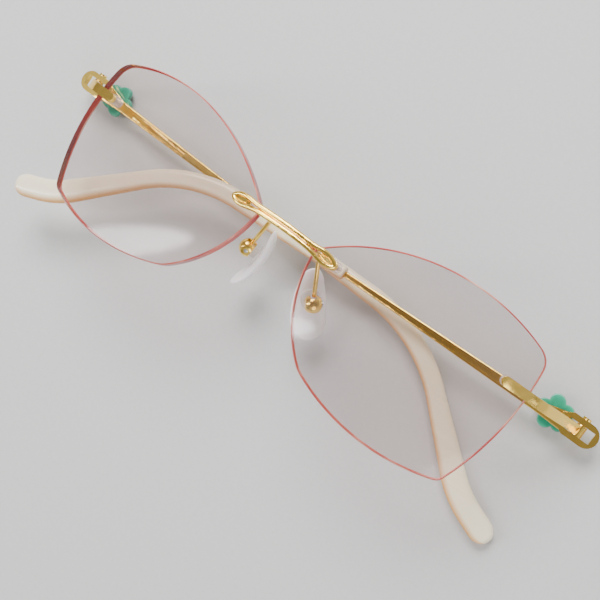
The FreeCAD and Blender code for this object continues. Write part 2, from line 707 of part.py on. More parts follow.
def make_screw(name, placement, shank, head, length, head_high):
    """A screw along z with a flat head above z = 0 and a slot across the head."""
    body = new_body(name, placement)
    stem = new_sketch(body, f"{name}_stem_outline", "XY_Plane")
    add_circle(stem, "0", "0", shank)
    pad(body, f"{name}_stem", stem, length, reversed_side=True)
    cap = new_sketch(body, f"{name}_head_outline", "XY_Plane")
    add_circle(cap, "0", "0", head)
    pad(body, f"{name}_head", cap, head_high)
    slot = new_sketch(body, f"{name}_slot_outline", "XY_Plane", head_high)
    reach, half = f"({head})/2+Size.overcut", "Size.driver_slot_wide/2"
    add_path(slot, [(f"-({reach})", f"-{half}"), (reach, f"-{half}"),
                    (reach, half), (f"-({reach})", half)], [None] * 4, True)
    pocket(body, f"{name}_slot", slot, "Size.driver_slot_deep")
    return body


def make_hinge_screws():
    """One screw down each hinge, its head on the brow side of the ring."""
    screws = []
    for side in (LEFT, RIGHT):
        top = hinge_point(side).add(Vector(0, number("Size.ring_wide/2+Size.screw_seat"), 0))
        placement = Placement(top, Rotation(Vector(1, 0, 0), -90))
        screws.append(make_screw(f"hinge_screw_{SIDE_NAME[side]}", placement,
                                 "Size.screw_width", "Size.screw_head",
                                 "Size.ring_wide+Size.screw_seat", "Size.screw_head_high"))
    return combine_group("hinge_screws", screws)


def combine_group(label, items):
    """Separate solids kept under one label, as identical fasteners are."""
    group = doc.addObject("Part::Compound", label)
    group.Label = label
    group.Links = items
    refresh(group)
    return group


# ---------------------------------------------------------------- temples

def make_arm(side):
    """Ring, tapering arm and wire core in one piece."""
    label = f"temple_arm_{SIDE_NAME[side]}"
    body = new_body(label, temple_placement(side))
    ring = new_sketch(body, f"{label}_ring_outline", "XY_Plane")
    shoulder = "-(Size.ring_front-Size.ring_wide/2)"
    wide = "Size.ring_wide/2"
    add_path(ring, [(shoulder, f"-{wide}"), ("Size.ring_back-Size.ring_taper", f"-{wide}"),
                    ("Size.ring_back", "-Size.arm_root/2"), ("Size.ring_back", "Size.arm_root/2"),
                    ("Size.ring_back-Size.ring_taper", wide), (shoulder, wide)],
             [None, None, None, None, None, half_round("Size.ring_wide")], True)
    pad(body, f"{label}_ring", ring, "Size.ring_thick", symmetric=True)
    arm = new_sketch(body, f"{label}_arm_outline", "XY_Plane")
    start = "Size.ring_back-Size.arm_overlap"
    end_y = "-Size.arm_fall"
    add_path(arm, [(start, f"-{wide}+Size.arm_shoulder"),
                   ("Size.arm_start", "-Size.arm_drop-Size.arm_root/2"),
                   ("Size.arm_long", f"{end_y}-Size.arm_end/2"),
                   ("Size.arm_long", f"{end_y}+Size.arm_end/2"),
                   ("Size.arm_start", "-Size.arm_drop+Size.arm_root/2"),
                   (start, f"{wide}-Size.arm_shoulder")],
             [None] * 6, True)
    pad(body, f"{label}_bar", arm, "Size.arm_thick", symmetric=True)
    fillet(body, f"{label}_edges", "Size.arm_round", long_edge_of_arm)
    slot = new_sketch(body, f"{label}_slot_outline", "XY_Plane")
    reach, half = "Size.slot_long/2", "Size.slot_wide/2"
    add_path(slot, [(f"-{reach}", f"-{half}"), (reach, f"-{half}"),
                    (reach, half), (f"-{reach}", half)], [None] * 4, True)
    pocket(body, f"{label}_slot", slot, "Size.ring_thick+Size.overcut", symmetric=True)
    bore = new_sketch(body, f"{label}_bore_outline", "XZ_Plane")
    add_circle(bore, "0", "0", "Size.screw_width+Size.running_fit")
    pocket(body, f"{label}_bore", bore, "Size.ring_wide+Size.overcut", symmetric=True)
    hole = new_sketch(body, f"{label}_rivet_hole", "XY_Plane")
    add_circle(hole, "Size.flower_x", "0", "Size.rivet_width")
    pocket(body, f"{label}_rivet", hole, "Size.arm_thick+Size.overcut", symmetric=True)
    cut_panel(body, label, side)
    profile = new_sketch(body, f"{label}_core_section", "YZ_Plane", CORE_START)
    add_circle(profile, end_y, "0", "Size.core_width")
    pipe(body, f"{label}_core", profile, core_spine(body, label))
    return body


def long_edge_of_arm(edge):
    """The four edges that run the length of the arm behind the ring."""
    return edge.BoundBox.XLength > size("arm_long") / 2


def cut_panel(body, label, side):
    """A shallow plain panel on the inner face of the arm."""
    inner_face = "Size.arm_thick/2" if side == RIGHT else "-Size.arm_thick/2"
    panel = new_sketch(body, f"{label}_panel_outline", "XY_Plane", inner_face)
    slope = "(Size.arm_fall-Size.arm_drop)/(Size.arm_long-Size.arm_start)"
    x_0, x_1 = "Size.panel_start", "Size.panel_start+Size.panel_long"
    half = "Size.panel_wide/2"
    fall_0 = f"Size.arm_drop-({x_0}-Size.arm_start)*{slope}"
    fall_1 = f"Size.arm_drop-({x_1}-Size.arm_start)*{slope}"
    far_half = f"{half}*Size.panel_taper"
    add_path(panel, [(x_0, f"-{fall_0}-{half}"), (x_1, f"-{fall_1}-{far_half}"),
                     (x_1, f"-{fall_1}+{far_half}"), (x_0, f"-{fall_0}+{half}")],
             [None] * 4, True)
    pocket(body, f"{label}_panel", panel, "Size.panel_deep", reversed_side=side == LEFT)


def core_spine(body, label):
    spine = new_sketch(body, f"{label}_core_spine", "XY_Plane")
    add_bent_path(spine, (CORE_START, "-Size.arm_fall"),
                  ("Size.tip_bend_x", "-Size.tip_bend_fall"),
                  ("Size.core_end_x", "-Size.core_end_fall"), "Size.bend_radius")
    return spine


def slope_angle(start, end):
    """The fall of the tip's centre line between two of its corners, in radians."""
    run = size(f"{end}_x") - size(f"{start}_x")
    return math.atan2(size(f"{end}_fall") - size(f"{start}_fall"), run)


def across_tip(corner, angle, half_turn, sign):
    """A point on one long side of the tip, level with a corner of its centre line.
    angle is the fall of the line that halves the turn there, sign +1 is the brow side."""
    reach = 0.5 / math.cos(half_turn)
    along, up = math.sin(angle) * reach * sign, math.cos(angle) * reach * sign
    return (f"Size.{corner}_x+({along:.6f})*Size.{corner}_wide",
            f"-Size.{corner}_fall+({up:.6f})*Size.{corner}_wide")


def make_tip(side):
    """The sleeve over the wire core: straight, bent down behind the ear, then flared back
    into a paddle with a round end, with the bore of the core inside."""
    label = f"temple_tip_{SIDE_NAME[side]}"
    body = new_body(label, temple_placement(side))
    fall = slope_angle("tip_bend", "paddle")
    flare = slope_angle("paddle", "tip_end")
    middle, half_turn = (fall + flare) / 2, (fall - flare) / 2
    low = [across_tip("tip_bend", fall / 2, fall / 2, -1),
           across_tip("paddle", middle, half_turn, -1),
           across_tip("tip_end", flare, 0, -1)]
    high = [across_tip("tip_end", flare, 0, 1),
            across_tip("paddle", middle, half_turn, 1),
            across_tip("tip_bend", fall / 2, fall / 2, 1)]
    outline = new_sketch(body, f"{label}_outline", "XY_Plane")
    corners = [("Size.arm_long", "-Size.arm_fall-Size.tip_start_wide/2"), *low, *high,
               ("Size.arm_long", "-Size.arm_fall+Size.tip_start_wide/2")]
    add_path(outline, corners, [None, None, None, "Size.tip_end_curve", None, None, None, None],
             True)
    pad(body, f"{label}_sleeve", outline, "Size.tip_thick", symmetric=True)
    bend, paddle = "Size.bend_radius", "Size.paddle_radius"
    turns = [("bend_low", low[0], f"{bend}-Size.tip_bend_wide/2"),
             ("bend_high", high[2], f"{bend}+Size.tip_bend_wide/2"),
             ("paddle_low", low[1], f"{paddle}+Size.paddle_wide/2"),
             ("paddle_high", high[1], f"{paddle}-Size.paddle_wide/2")]
    for name, (x, y), radius in turns:
        fillet(body, f"{label}_{name}", radius, upright_near(number(x), number(y)))
    ends = [upright_near(number(x), number(y)) for x, y in (low[2], high[0])]
    fillet(body, f"{label}_nose", "Size.tip_nose_round",
           lambda edge: ends[0](edge) or ends[1](edge))
    fillet(body, f"{label}_edges", "Size.tip_round", level_edge)
    profile = new_sketch(body, f"{label}_bore_section", "YZ_Plane", CORE_START)
    add_circle(profile, "-Size.arm_fall", "0", "Size.core_width+Size.core_fit")
    bore = body.newObject("PartDesign::SubtractivePipe", f"{label}_bore")
    bore.Profile = profile
    bore.Spine = core_spine(body, label)
    refresh(body)
    return body


def level_edge(edge):
    """Edges that lie in one plane across z, away from the open end of the sleeve."""
    box = edge.BoundBox
    at_mouth = box.XMax < size("arm_long") + FLAT
    return box.ZLength < FLAT and not at_mouth


def make_flower(side):
    """Five round petals about a hub, carved in one piece, on the outer face of the arm."""
    label = f"flower_{SIDE_NAME[side]}"
    sign = outward(side)
    seat = Placement(Vector(size("flower_x"), 0, sign * number(
        "Size.arm_thick/2+Size.collar_thick")), Rotation(Vector(1, 0, 0), 0 if sign > 0 else 180))
    body = new_body(label, temple_placement(side).multiply(seat))
    hub = new_sketch(body, f"{label}_hub_outline", "XY_Plane")
    add_circle(hub, "0", "0", "Size.flower_hub")
    pad(body, f"{label}_hub", hub, "Size.hub_thick")
    petal = turned_petal(body, label)
    pattern = body.newObject("PartDesign::PolarPattern", f"{label}_petals")
    pattern.Originals = [petal]
    pattern.Axis = (hub, ["N_Axis"])
    pattern.Angle = 360
    pattern.Occurrences = PETALS
    body.Tip = pattern
    refresh(body)
    hole = new_sketch(body, f"{label}_hole_outline", "XY_Plane")
    add_circle(hole, "0", "0", "Size.rivet_width")
    pocket(body, f"{label}_hole", hole, "Size.flower_thick*2+Size.overcut", symmetric=True)
    seat_outline = new_sketch(body, f"{label}_seat_outline", "XY_Plane", "Size.hub_thick")
    add_circle(seat_outline, "0", "0", "Size.rivet_head+Size.running_fit")
    pocket(body, f"{label}_seat", seat_outline, "Size.flower_thick", reversed_side=True)
    return body


def turned_petal(body, label):
    """One round petal with a rounded upper edge, turned about its own centre."""
    section = new_sketch(body, f"{label}_petal_section", "XZ_Plane")
    middle, edge = "Size.lobe_offset", "Size.lobe_offset+Size.lobe_width/2"
    corners = [(middle, "0"), (edge, "0"), (edge, "Size.flower_thick-Size.flower_round"),
               (f"{edge}-Size.flower_round", "Size.flower_thick"),
               (middle, "Size.flower_thick")]
    add_path(section, corners, [None, None, "Size.flower_round", None, None], True)
    axis = section.addGeometry(Part.LineSegment(
        Vector(size("lobe_offset"), 0, 0),
        Vector(size("lobe_offset"), size("flower_thick"), 0)), True)
    fix_point(section, axis, 1, middle, "0")
    fix_point(section, axis, 2, middle, "Size.flower_thick")
    petal = body.newObject("PartDesign::Revolution", f"{label}_petal")
    petal.Profile = section
    petal.ReferenceAxis = (section, ["Axis0"])
    petal.Angle = 360
    refresh(body)
    return petal


def make_collar(side):
    """A short tube that holds the flower off the arm."""
    label = f"flower_collar_{SIDE_NAME[side]}"
    sign = outward(side)
    seat = Placement(Vector(size("flower_x"), 0, sign * size("arm_thick") / 2),
                     Rotation(Vector(1, 0, 0), 0 if sign > 0 else 180))
    body = new_body(label, temple_placement(side).multiply(seat))
    outline = new_sketch(body, f"{label}_outline", "XY_Plane")
    add_circle(outline, "0", "0", "Size.collar_width")
    add_circle(outline, "0", "0", "Size.rivet_width")
    pad(body, f"{label}_tube", outline, "Size.collar_thick")
    return body


def make_rivet(side):
    """A stem through arm, collar and flower, with a domed head on the flower."""
    label = f"flower_rivet_{SIDE_NAME[side]}"
    sign = outward(side)
    seat = Placement(Vector(size("flower_x"), 0, 0),
                     Rotation(Vector(1, 0, 0), 0 if sign > 0 else 180))
    body = new_body(label, temple_placement(side).multiply(seat))
    section = new_sketch(body, f"{label}_section", "XZ_Plane")
    hub_top = "Size.arm_thick/2+Size.collar_thick+Size.hub_thick"
    top = "Size.arm_thick/2+Size.collar_thick+Size.flower_thick+Size.rivet_dome"
    add_path(section, [("0", "-Size.arm_thick/2"), ("Size.rivet_width/2", "-Size.arm_thick/2"),
                       ("Size.rivet_width/2", hub_top), ("Size.rivet_head/2", hub_top),
                       ("Size.rivet_flat", top), ("0", top)],
             [None, None, None, "Size.rivet_curve", None, None], True)
    turned = body.newObject("PartDesign::Revolution", f"{label}_turned")
    turned.Profile = section
    turned.ReferenceAxis = (section, ["V_Axis"])
    turned.Angle = 360
    refresh(body)
    return body


# ---------------------------------------------------------------- nose pads

def make_pad_box(side):
    """A ball cut flat on its sides, slotted towards the pad and bored for the screw."""
    label = f"pad_box_{SIDE_NAME[side]}"
    place = pad_placement(side)
    ball = doc.addObject("Part::Sphere", f"{label}_ball")
    bind(ball, "Radius", "Size.box_ball/2")
    ball.Placement = place
    block = doc.addObject("Part::Box", f"{label}_block")
    bind(block, "Length", "Size.box_wide")
    bind(block, "Width", "Size.box_high")
    bind(block, "Height", "Size.box_ball")
    corner = Vector(-size("box_wide") / 2, -size("box_high") / 2, -size("box_back"))
    block.Placement = place.multiply(Placement(corner, Rotation()))
    slot = doc.addObject("Part::Box", f"{label}_slot")
    bind(slot, "Length", "Size.box_slot")
    bind(slot, "Width", "Size.box_ball")
    bind(slot, "Height", "Size.box_ball/2+Size.box_slot_deep")
    corner = Vector(-size("box_slot") / 2, -size("box_ball") / 2, -size("box_ball") / 2)
    slot.Placement = place.multiply(Placement(corner, Rotation()))
    half = size("box_ball") / 2
    bore = cylinder(f"{label}_bore", "Size.pad_screw", "Size.box_ball",
                    place.multiply(Placement(Vector(-half, 0, 0), Rotation(Y_AXIS, 90))))
    shell = combine("Common", f"{label}_shell", ball, [block])
    return combine("Cut", label, shell, [slot, bore])


def pad_screw_placement(side):
    head = Vector(side * size("box_wide") / 2, 0, 0)
    return pad_placement(side).multiply(Placement(head, Rotation(Y_AXIS, side * 90)))


def make_pad_screws():
    screws = [make_screw(f"pad_screw_{SIDE_NAME[side]}", pad_screw_placement(side),
                         "Size.pad_screw", "Size.pad_screw_head", "Size.box_wide",
                         "Size.pad_screw_head_high")
              for side in (LEFT, RIGHT)]
    return combine_group("pad_screws", screws)


def make_pad_arm(side, bridge, box):
    """Wire from the strands of the bridge, straight back, then down to the pad box."""
    label = f"pad_arm_{SIDE_NAME[side]}"
    root = Vector(side * size("pad_arm_x"), number("Size.lens_centre_y+Size.pad_arm_y"),
                  number("Size.lens_height+Size.pad_arm_z"))
    goal = pad_point(side)
    heading = math.degrees(math.atan2(goal.y - root.y, goal.x - root.x))
    body = new_body(f"{label}_wire", Placement(root, Rotation(Z_AXIS, heading)))
    across = math.hypot(goal.x - root.x, goal.y - root.y)
    drop = goal.z - root.z
    spine = new_sketch(body, f"{label}_spine", "XZ_Plane")
    add_bent_path(spine, ("0", "0"), ("0", "-Size.pad_arm_back"),
                  (f"{across:.6f}", f"{drop:.6f}"), "Size.pad_arm_bend")
    section = new_sketch(body, f"{label}_section", "XY_Plane")
    add_circle(section, "0", "0", "Size.arm_wire")
    pipe(body, f"{label}_rod", section, spine)
    core = doc.addObject("Part::Sphere", f"{label}_trim")
    bind(core, "Radius", "Size.box_ball/2-Size.arm_in_box")
    core.Placement = Placement(goal, Rotation())
    return combine("Cut", label, body, [bridge, box, core])


def make_insert(side):
    """Clear boss on the back of the pad and the tab that the screw passes through."""
    label = f"pad_insert_{SIDE_NAME[side]}"
    body = new_body(label, pad_placement(side))
    boss = new_sketch(body, f"{label}_boss_outline", "XY_Plane", "-Size.boss_drop")
    add_circle(boss, "0", "0", "Size.boss_width")
    pad(body, f"{label}_boss", boss, "Size.boss_thick")
    neck = new_sketch(body, f"{label}_neck_outline", "XY_Plane", "-Size.boss_drop")
    half, wide = "Size.tab_thick/2", "Size.tab_width/2"
    add_path(neck, [(f"-{half}", f"-{wide}"), (half, f"-{wide}"), (half, wide),
                    (f"-{half}", wide)], [None] * 4, True)
    pad(body, f"{label}_neck", neck, "Size.boss_drop")
    eye = new_sketch(body, f"{label}_eye_outline", "YZ_Plane")
    add_circle(eye, "0", "0", "Size.tab_width")
    pad(body, f"{label}_eye", eye, "Size.tab_thick", symmetric=True)
    bore = new_sketch(body, f"{label}_bore_outline", "YZ_Plane")
    add_circle(bore, "0", "0", "Size.pad_screw+Size.running_fit")
    pocket(body, f"{label}_bore", bore, "Size.tab_thick+Size.overcut", symmetric=True)
    return body


def make_nose_pad(side):
    """A soft teardrop, narrow above and round below."""
    label = f"nose_pad_{SIDE_NAME[side]}"
    body = new_body(label, pad_placement(side))
    outline = new_sketch(body, f"{label}_outline", "XY_Plane", "-Size.boss_drop")
    top = "Size.pad_above-Size.pad_top_wide/2"
    low = "Size.pad_above-Size.pad_long+Size.pad_wide/2"
    add_path(outline, [("-Size.pad_wide/2", low), ("Size.pad_wide/2", low),
                       ("Size.pad_top_wide/2", top), ("-Size.pad_top_wide/2", top)],
             [half_round("Size.pad_wide"), "Size.pad_flank", half_round("Size.pad_top_wide"),
              "Size.pad_flank"], True)
    pad(body, f"{label}_slab", outline, "Size.pad_thick", reversed_side=True)
    fillet(body, f"{label}_shoulders", "Size.pad_shoulder",
           lambda edge: edge.BoundBox.ZLength > size("pad_thick") / 2)
    fillet(body, f"{label}_soft_edge", "Size.pad_round", lambda edge: edge.BoundBox.ZLength < FLAT)
    return body


# ---------------------------------------------------------------- build, check and write

def build():
    fill_sheet()
    pieces = make_lenses()
    bridge = make_bridge()
    pieces += [bridge, make_hinge_screws(), make_pad_screws()]
    for side in (LEFT, RIGHT):
        name = SIDE_NAME[side]
        box = make_pad_box(side)
        pieces += [make_bush(f"bridge_bush_{name}", bridge_mount(side)),
                   make_bush(f"endpiece_bush_{name}", endpiece_mount(side)),
                   make_endpiece(side), box, make_pad_arm(side, bridge, box),
                   make_arm(side), make_tip(side), make_flower(side),
                   make_collar(side), make_rivet(side), make_insert(side),
                   make_nose_pad(side)]
    doc.recompute()
    return pieces


def check(pieces):
    """Stop unless every object is up to date and every piece is a valid solid."""
    for item in doc.Objects:
        if "Invalid" in item.State or "Error" in item.State:
            raise ValueError(f"{item.Label} failed: {item.State}")
    for piece in pieces:
        if piece.Shape.isNull() or not piece.Shape.isValid():
            raise ValueError(f"{piece.Label} has no valid shape")
        if not piece.Shape.Solids:
            raise ValueError(f"{piece.Label} has no solid")


def export(pieces):
    os.makedirs("parts", exist_ok=True)
    for piece in pieces:
        piece.Shape.exportStep(os.path.join("parts", f"{piece.Label}.step"))
        box = piece.Shape.BoundBox
        print(f"{piece.Label:20s} solids {len(piece.Shape.Solids)} volume {piece.Shape.Volume:9.3f}"
              f"  z {box.ZMin:7.2f} to {box.ZMax:7.2f}")


def print_axes():
    for side in (LEFT, RIGHT):
        name = SIDE_NAME[side]
        place = pad_placement(side)
        print(name, "hinge", hinge_point(side), "pad", place.Base,
              "pad axis", place.Rotation.multVec(Vector(1, 0, 0)))


parts = build()
check(parts)
export(parts)
print_axes()
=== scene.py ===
# %% [markdown]
# # Rimless eyeglasses, folded on a table
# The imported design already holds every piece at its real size. This lesson gives each
# piece its finish, and rebuilds the smooth pieces (lenses, temple tips, nose pads and
# flowers) as surfaces worked out on a grid, because their curves are what the eye follows.

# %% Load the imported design
import json
import math

import bmesh
import bpy
import numpy as np
from mathutils import Matrix, Vector
from mathutils.geometry import convex_hull_2d


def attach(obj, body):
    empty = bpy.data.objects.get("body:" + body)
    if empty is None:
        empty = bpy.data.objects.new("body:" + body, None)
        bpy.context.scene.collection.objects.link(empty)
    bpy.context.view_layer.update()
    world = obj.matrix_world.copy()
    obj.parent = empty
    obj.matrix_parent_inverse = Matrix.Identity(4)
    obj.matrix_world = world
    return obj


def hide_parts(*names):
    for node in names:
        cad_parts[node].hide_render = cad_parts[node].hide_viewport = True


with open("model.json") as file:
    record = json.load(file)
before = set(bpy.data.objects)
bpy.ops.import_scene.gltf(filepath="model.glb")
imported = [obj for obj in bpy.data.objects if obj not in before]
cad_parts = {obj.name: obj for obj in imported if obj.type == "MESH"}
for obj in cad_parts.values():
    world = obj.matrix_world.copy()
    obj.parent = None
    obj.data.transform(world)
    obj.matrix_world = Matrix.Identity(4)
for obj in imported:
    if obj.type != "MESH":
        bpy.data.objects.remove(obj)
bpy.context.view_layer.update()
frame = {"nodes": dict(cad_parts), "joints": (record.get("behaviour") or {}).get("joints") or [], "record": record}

MM = 0.001
FULL_TURN = 2 * np.pi
LEFT, RIGHT = 1, -1
SIDE_NAME = {LEFT: "left", RIGHT: "right"}
JOINTS = {joint["name"]: joint for joint in frame["joints"]}
print("pieces in the design:", len(frame["nodes"]))

# %% [markdown]
# ## Turning arrays into meshes
# A smooth piece is a grid of points: rows run one way over the surface and columns the
# other. The faces join each point to its neighbours, so they come from index arithmetic
# and need no loop. Rows or columns that meet themselves are wrapped round.

# %% The faces of a grid
def grid_faces(rows, columns, wrap_rows):
    """Four corners a face: (row, column), the next column, the next row of both. Columns
    always close on themselves; rows do where the section is a closed loop."""
    last = rows if wrap_rows else rows - 1
    row = np.arange(last)[:, None]
    column = np.arange(columns)[None, :]
    beside = (column + 1) % columns
    below = (row + 1) % rows
    corners = np.stack([row * columns + column, row * columns + beside,
                        below * columns + beside, below * columns + column], axis=-1)
    return corners.reshape(-1, 4)


def grid_piece(name, points, wrap_rows=False, face_finish=None, weights=None):
    """points has the shape (rows, columns, 3). face_finish gives each row of faces its
    material number. weights holds named arrays of one number a point, kept as attributes."""
    rows, columns = points.shape[:2]
    mesh = bpy.data.meshes.new(name)
    mesh.from_pydata(points.reshape(-1, 3).tolist(), [],
                     grid_faces(rows, columns, wrap_rows).tolist())
    if face_finish is not None:
        mesh.polygons.foreach_set("material_index", np.repeat(face_finish, columns))
    for key, values in (weights or {}).items():
        layer = mesh.attributes.new(key, "FLOAT", "POINT")
        layer.data.foreach_set("value", np.ascontiguousarray(values, np.float32).ravel())
    close_and_turn_outward(mesh)
    piece = bpy.data.objects.new(name, mesh)
    bpy.context.scene.collection.objects.link(piece)
    return piece


print("a 3 by 4 grid has", len(grid_faces(3, 4, False)), "faces")

# %% [markdown]
# ## Closing a mesh
# Points that meet at a pole or a seam are merged, and then every face is turned outward,
# because a shader and an exported file both tell inside from outside by that. A second
# function reads the corners of a piece of the design, for the surfaces that follow it.

# %% Close a mesh and read one
def close_and_turn_outward(mesh, merge=1e-7):
    """Merge the points that meet at a pole or seam, then turn every face outward."""
    work = bmesh.new()
    work.from_mesh(mesh)
    bmesh.ops.remove_doubles(work, verts=work.verts, dist=merge)
    bmesh.ops.recalc_face_normals(work, faces=work.faces)
    work.to_mesh(mesh)
    work.free()
    mesh.polygons.foreach_set("use_smooth", np.ones(len(mesh.polygons), bool))


def node_points(name):
    """The corners of a node of the design, as an array."""
    mesh = frame["nodes"][name].data
    points = np.zeros(len(mesh.vertices) * 3)
    mesh.vertices.foreach_get("co", points)
    return points.reshape(-1, 3)


print("corners in the left lens of the design:", len(node_points("lens_left")))

# %% [markdown]
# ## Writing shaders as arithmetic
# A finish is easier to read as an expression than as a wiring diagram. The class below
# wraps one socket, so that adding or multiplying two of them adds the Math node for it.

# %% Shader arithmetic
class Value:
    """The output of a shader node, with arithmetic on it."""

    def __init__(self, shading, socket):
        self.shading = shading
        self.socket = socket

    def math(self, operation, first, second):
        return self.shading.node("ShaderNodeMath", {"operation": operation},
                                 {0: first, 1: second})

    def __add__(self, other):
        return self.math("ADD", self, other)

    def __sub__(self, other):
        return self.math("SUBTRACT", self, other)

    def __rsub__(self, other):
        return self.math("SUBTRACT", other, self)

    def __mul__(self, other):
        return self.math("MULTIPLY", self, other)

    def __pow__(self, other):
        return self.math("POWER", self, other)

    __radd__ = __add__
    __rmul__ = __mul__


print("made", Value.__name__)

# %% [markdown]
# ## One way to make a node
# Every other node comes from one method. It takes the node's type, then its settings,
# because a setting can change which sockets there are, and then its sockets.

# %% Node maker
class Shading:
    """A node tree, cleared, and the means to add nodes to it."""

    def __init__(self, tree, output):
        self.tree = tree
        self.tree.nodes.clear()
        self.output = self.tree.nodes.new(output)

    def node(self, kind, settings=None, sockets=None, output=0):
        """Make a node, set it up, then give its sockets numbers, colours or links."""
        made = self.tree.nodes.new(kind)
        for key, value in (settings or {}).items():
            if key == "stops":
                self.set_stops(made.color_ramp, value)
            else:
                setattr(made, key, value)
        for key, value in (sockets or {}).items():
            if isinstance(value, Value):
                self.tree.links.new(value.socket, made.inputs[key])
            else:
                made.inputs[key].default_value = value
        return Value(self, made.outputs[output])

    def set_stops(self, ramp, stops):
        while len(ramp.elements) < len(stops):
            ramp.elements.new(1.0)
        for element, (position, colour) in zip(ramp.elements, stops):
            element.position = position
            element.color = colour

    def blend(self, share, first, second):
        """From the first colour to the second. A Mix node has one result for each type of
        value, and the colour is the third."""
        return self.node("ShaderNodeMix", {"data_type": "RGBA"},
                         {0: share, 6: first, 7: second}, output=2)

    def ramp(self, share, stops):
        return self.node("ShaderNodeValToRGB", {"stops": stops}, {"Fac": share})

    def show(self, shader):
        self.tree.links.new(shader.socket, self.output.inputs["Surface"])


print("made", Shading.__name__)

# %% [markdown]
# ## Patterns and surfaces
# A finish on a solid piece needs a pattern that fills space, so that it has no seam: noise
# read at the piece's own coordinates. Most finishes then end in one Principled surface.

# %% Finishes
class Finish(Shading):
    """A material, with patterns on it."""

    def __init__(self, name):
        self.material = bpy.data.materials.new(name)
        self.material.use_nodes = True
        super().__init__(self.material.node_tree, "ShaderNodeOutputMaterial")

    def place(self):
        return self.node("ShaderNodeTexCoord", output="Object")

    def noise(self, scale, detail=3.0, stretch=(1, 1, 1)):
        """Noise at so many waves a metre, from 0 to 1."""
        spot = self.node("ShaderNodeMapping", {}, {"Vector": self.place(), "Scale": stretch})
        return self.node("ShaderNodeTexNoise", {},
                         {"Vector": spot, "Scale": scale, "Detail": detail})

    def attribute(self, key):
        return self.node("ShaderNodeAttribute", {"attribute_name": key}, output="Fac")

    def bump(self, height, distance):
        return self.node("ShaderNodeBump", {}, {"Height": height, "Distance": distance})

    def surface(self, sockets):
        """A Principled surface on the output."""
        return self.finished(self.node("ShaderNodeBsdfPrincipled", {}, sockets))

    def finished(self, shader):
        self.show(shader)
        return self.material


print("made", Finish.__name__)

# %% [markdown]
# ## Gold plating
# Plated wire and strip is bright and yellow, but never a perfect mirror: polishing leaves
# hair-fine marks, slow waves in the surface, and a slight haze from handling. Noises of
# very different scale, in the roughness and in a shallow bump, give all three.

# %% Gold
def gold_finish(name, colour, deep, rough):
    finish = Finish(name)
    haze = finish.noise(260, 4)
    waves = finish.noise(420, 1)
    marks = finish.noise(2600, 2, (1, 6, 1))
    return finish.surface({
        "Base Color": finish.blend(haze, colour, deep), "Metallic": 1.0,
        "Roughness": rough + haze * 0.10 + marks * 0.05,
        "Normal": finish.bump(waves + marks * 0.05, 0.00012)})


GOLD = gold_finish("gold", (1.0, 0.76, 0.20, 1), (1.0, 0.62, 0.11, 1), 0.10)
STEEL = gold_finish("steel", (0.78, 0.77, 0.75, 1), (0.62, 0.61, 0.60, 1), 0.16)
print("made", GOLD.name, STEEL.name)

# %% [markdown]
# ## Lens plastic
# A lens seen over a pale table is mostly what lies behind it, a shade darker, with a soft
# veil of reflection. A refracting shader would be slow and noisy for so thin a plate, so
# a tinted transparent shader is mixed with a glossy one, more of it at grazing angles.

# %% Lens finish
def lens_finish():
    """Schlick's rule: the share reflected is 0.05 seen square on, rising with the fifth
    power of how far the face is turned away. Smudges vary it by a fifth either way, and
    only faces seen from outside reflect."""
    finish = Finish("lens")
    square_on = 0.05
    away = finish.node("ShaderNodeLayerWeight", {}, {"Blend": 0.5}, output="Facing")
    inside = finish.node("ShaderNodeNewGeometry", output="Backfacing")
    smudge = 0.8 + finish.noise(38, 3) * 0.4
    clear = finish.node("ShaderNodeBsdfTransparent", {}, {"Color": (0.885, 0.845, 0.84, 1)})
    gloss = finish.node("ShaderNodeBsdfGlossy", {},
                        {"Color": (1, 0.985, 0.98, 1), "Roughness": 0.11})
    share = (square_on + away ** 5 * (1 - square_on)) * smudge * (1 - inside)
    return finish.finished(
        finish.node("ShaderNodeMixShader", {}, {0: share, 1: clear, 2: gloss}))


LENS = lens_finish()
print("made", LENS.name)

# %% [markdown]
# ## Lens edge
# The cut edge shows the tint at full strength: wine red. Its orange patches are painted highlight, standing in for
# where the edge catches the light. The bevel beside it runs from red to cream, and its cream patches are painted
# highlight too.
# Both colours drift slowly along the edge, so they come from a low noise and a ramp.

# %% Edge and bevel finishes
def lens_edge_finish():
    finish = Finish("lens_edge")
    drift_and_painted_highlight = finish.noise(70, 2)
    # Painted highlight: the orange stop stands in for where the edge is lit, while the reds are the edge's own
    # colour.
    colour = finish.ramp(drift_and_painted_highlight, [(0.30, (0.16, 0.004, 0.010, 1)),
                                 (0.52, (0.38, 0.008, 0.010, 1)),
                                 (0.72, (0.66, 0.07, 0.02, 1))])
    return finish.surface({"Base Color": colour, "Roughness": 0.16 + drift_and_painted_highlight * 0.1,
                           "Coat Weight": 0.6})


def lens_bevel_finish():
    finish = Finish("lens_bevel")
    drift_and_painted_highlight = finish.noise(90, 2)
    # Painted highlight: the cream stop stands in for light caught by the bevel, while the reds are the bevel's own
    # colour.
    colour = finish.ramp(drift_and_painted_highlight, [(0.35, (0.45, 0.03, 0.03, 1)),
                                 (0.55, (0.62, 0.13, 0.09, 1)),
                                 (0.75, (0.90, 0.62, 0.48, 1))])
    return finish.surface({"Base Color": colour, "Roughness": 0.28 + drift_and_painted_highlight * 0.1})


LENS_EDGE, LENS_BEVEL = lens_edge_finish(), lens_bevel_finish()
print("made", LENS_EDGE.name, LENS_BEVEL.name)

# %% [markdown]
# ## Ivory-coloured tips
# The long tips are cast plastic with a faint grain along their length. Their lower edge is
# amber, as if dipped. The grid that makes a tip stores how low on the section each point
# is, and the finish reads that.

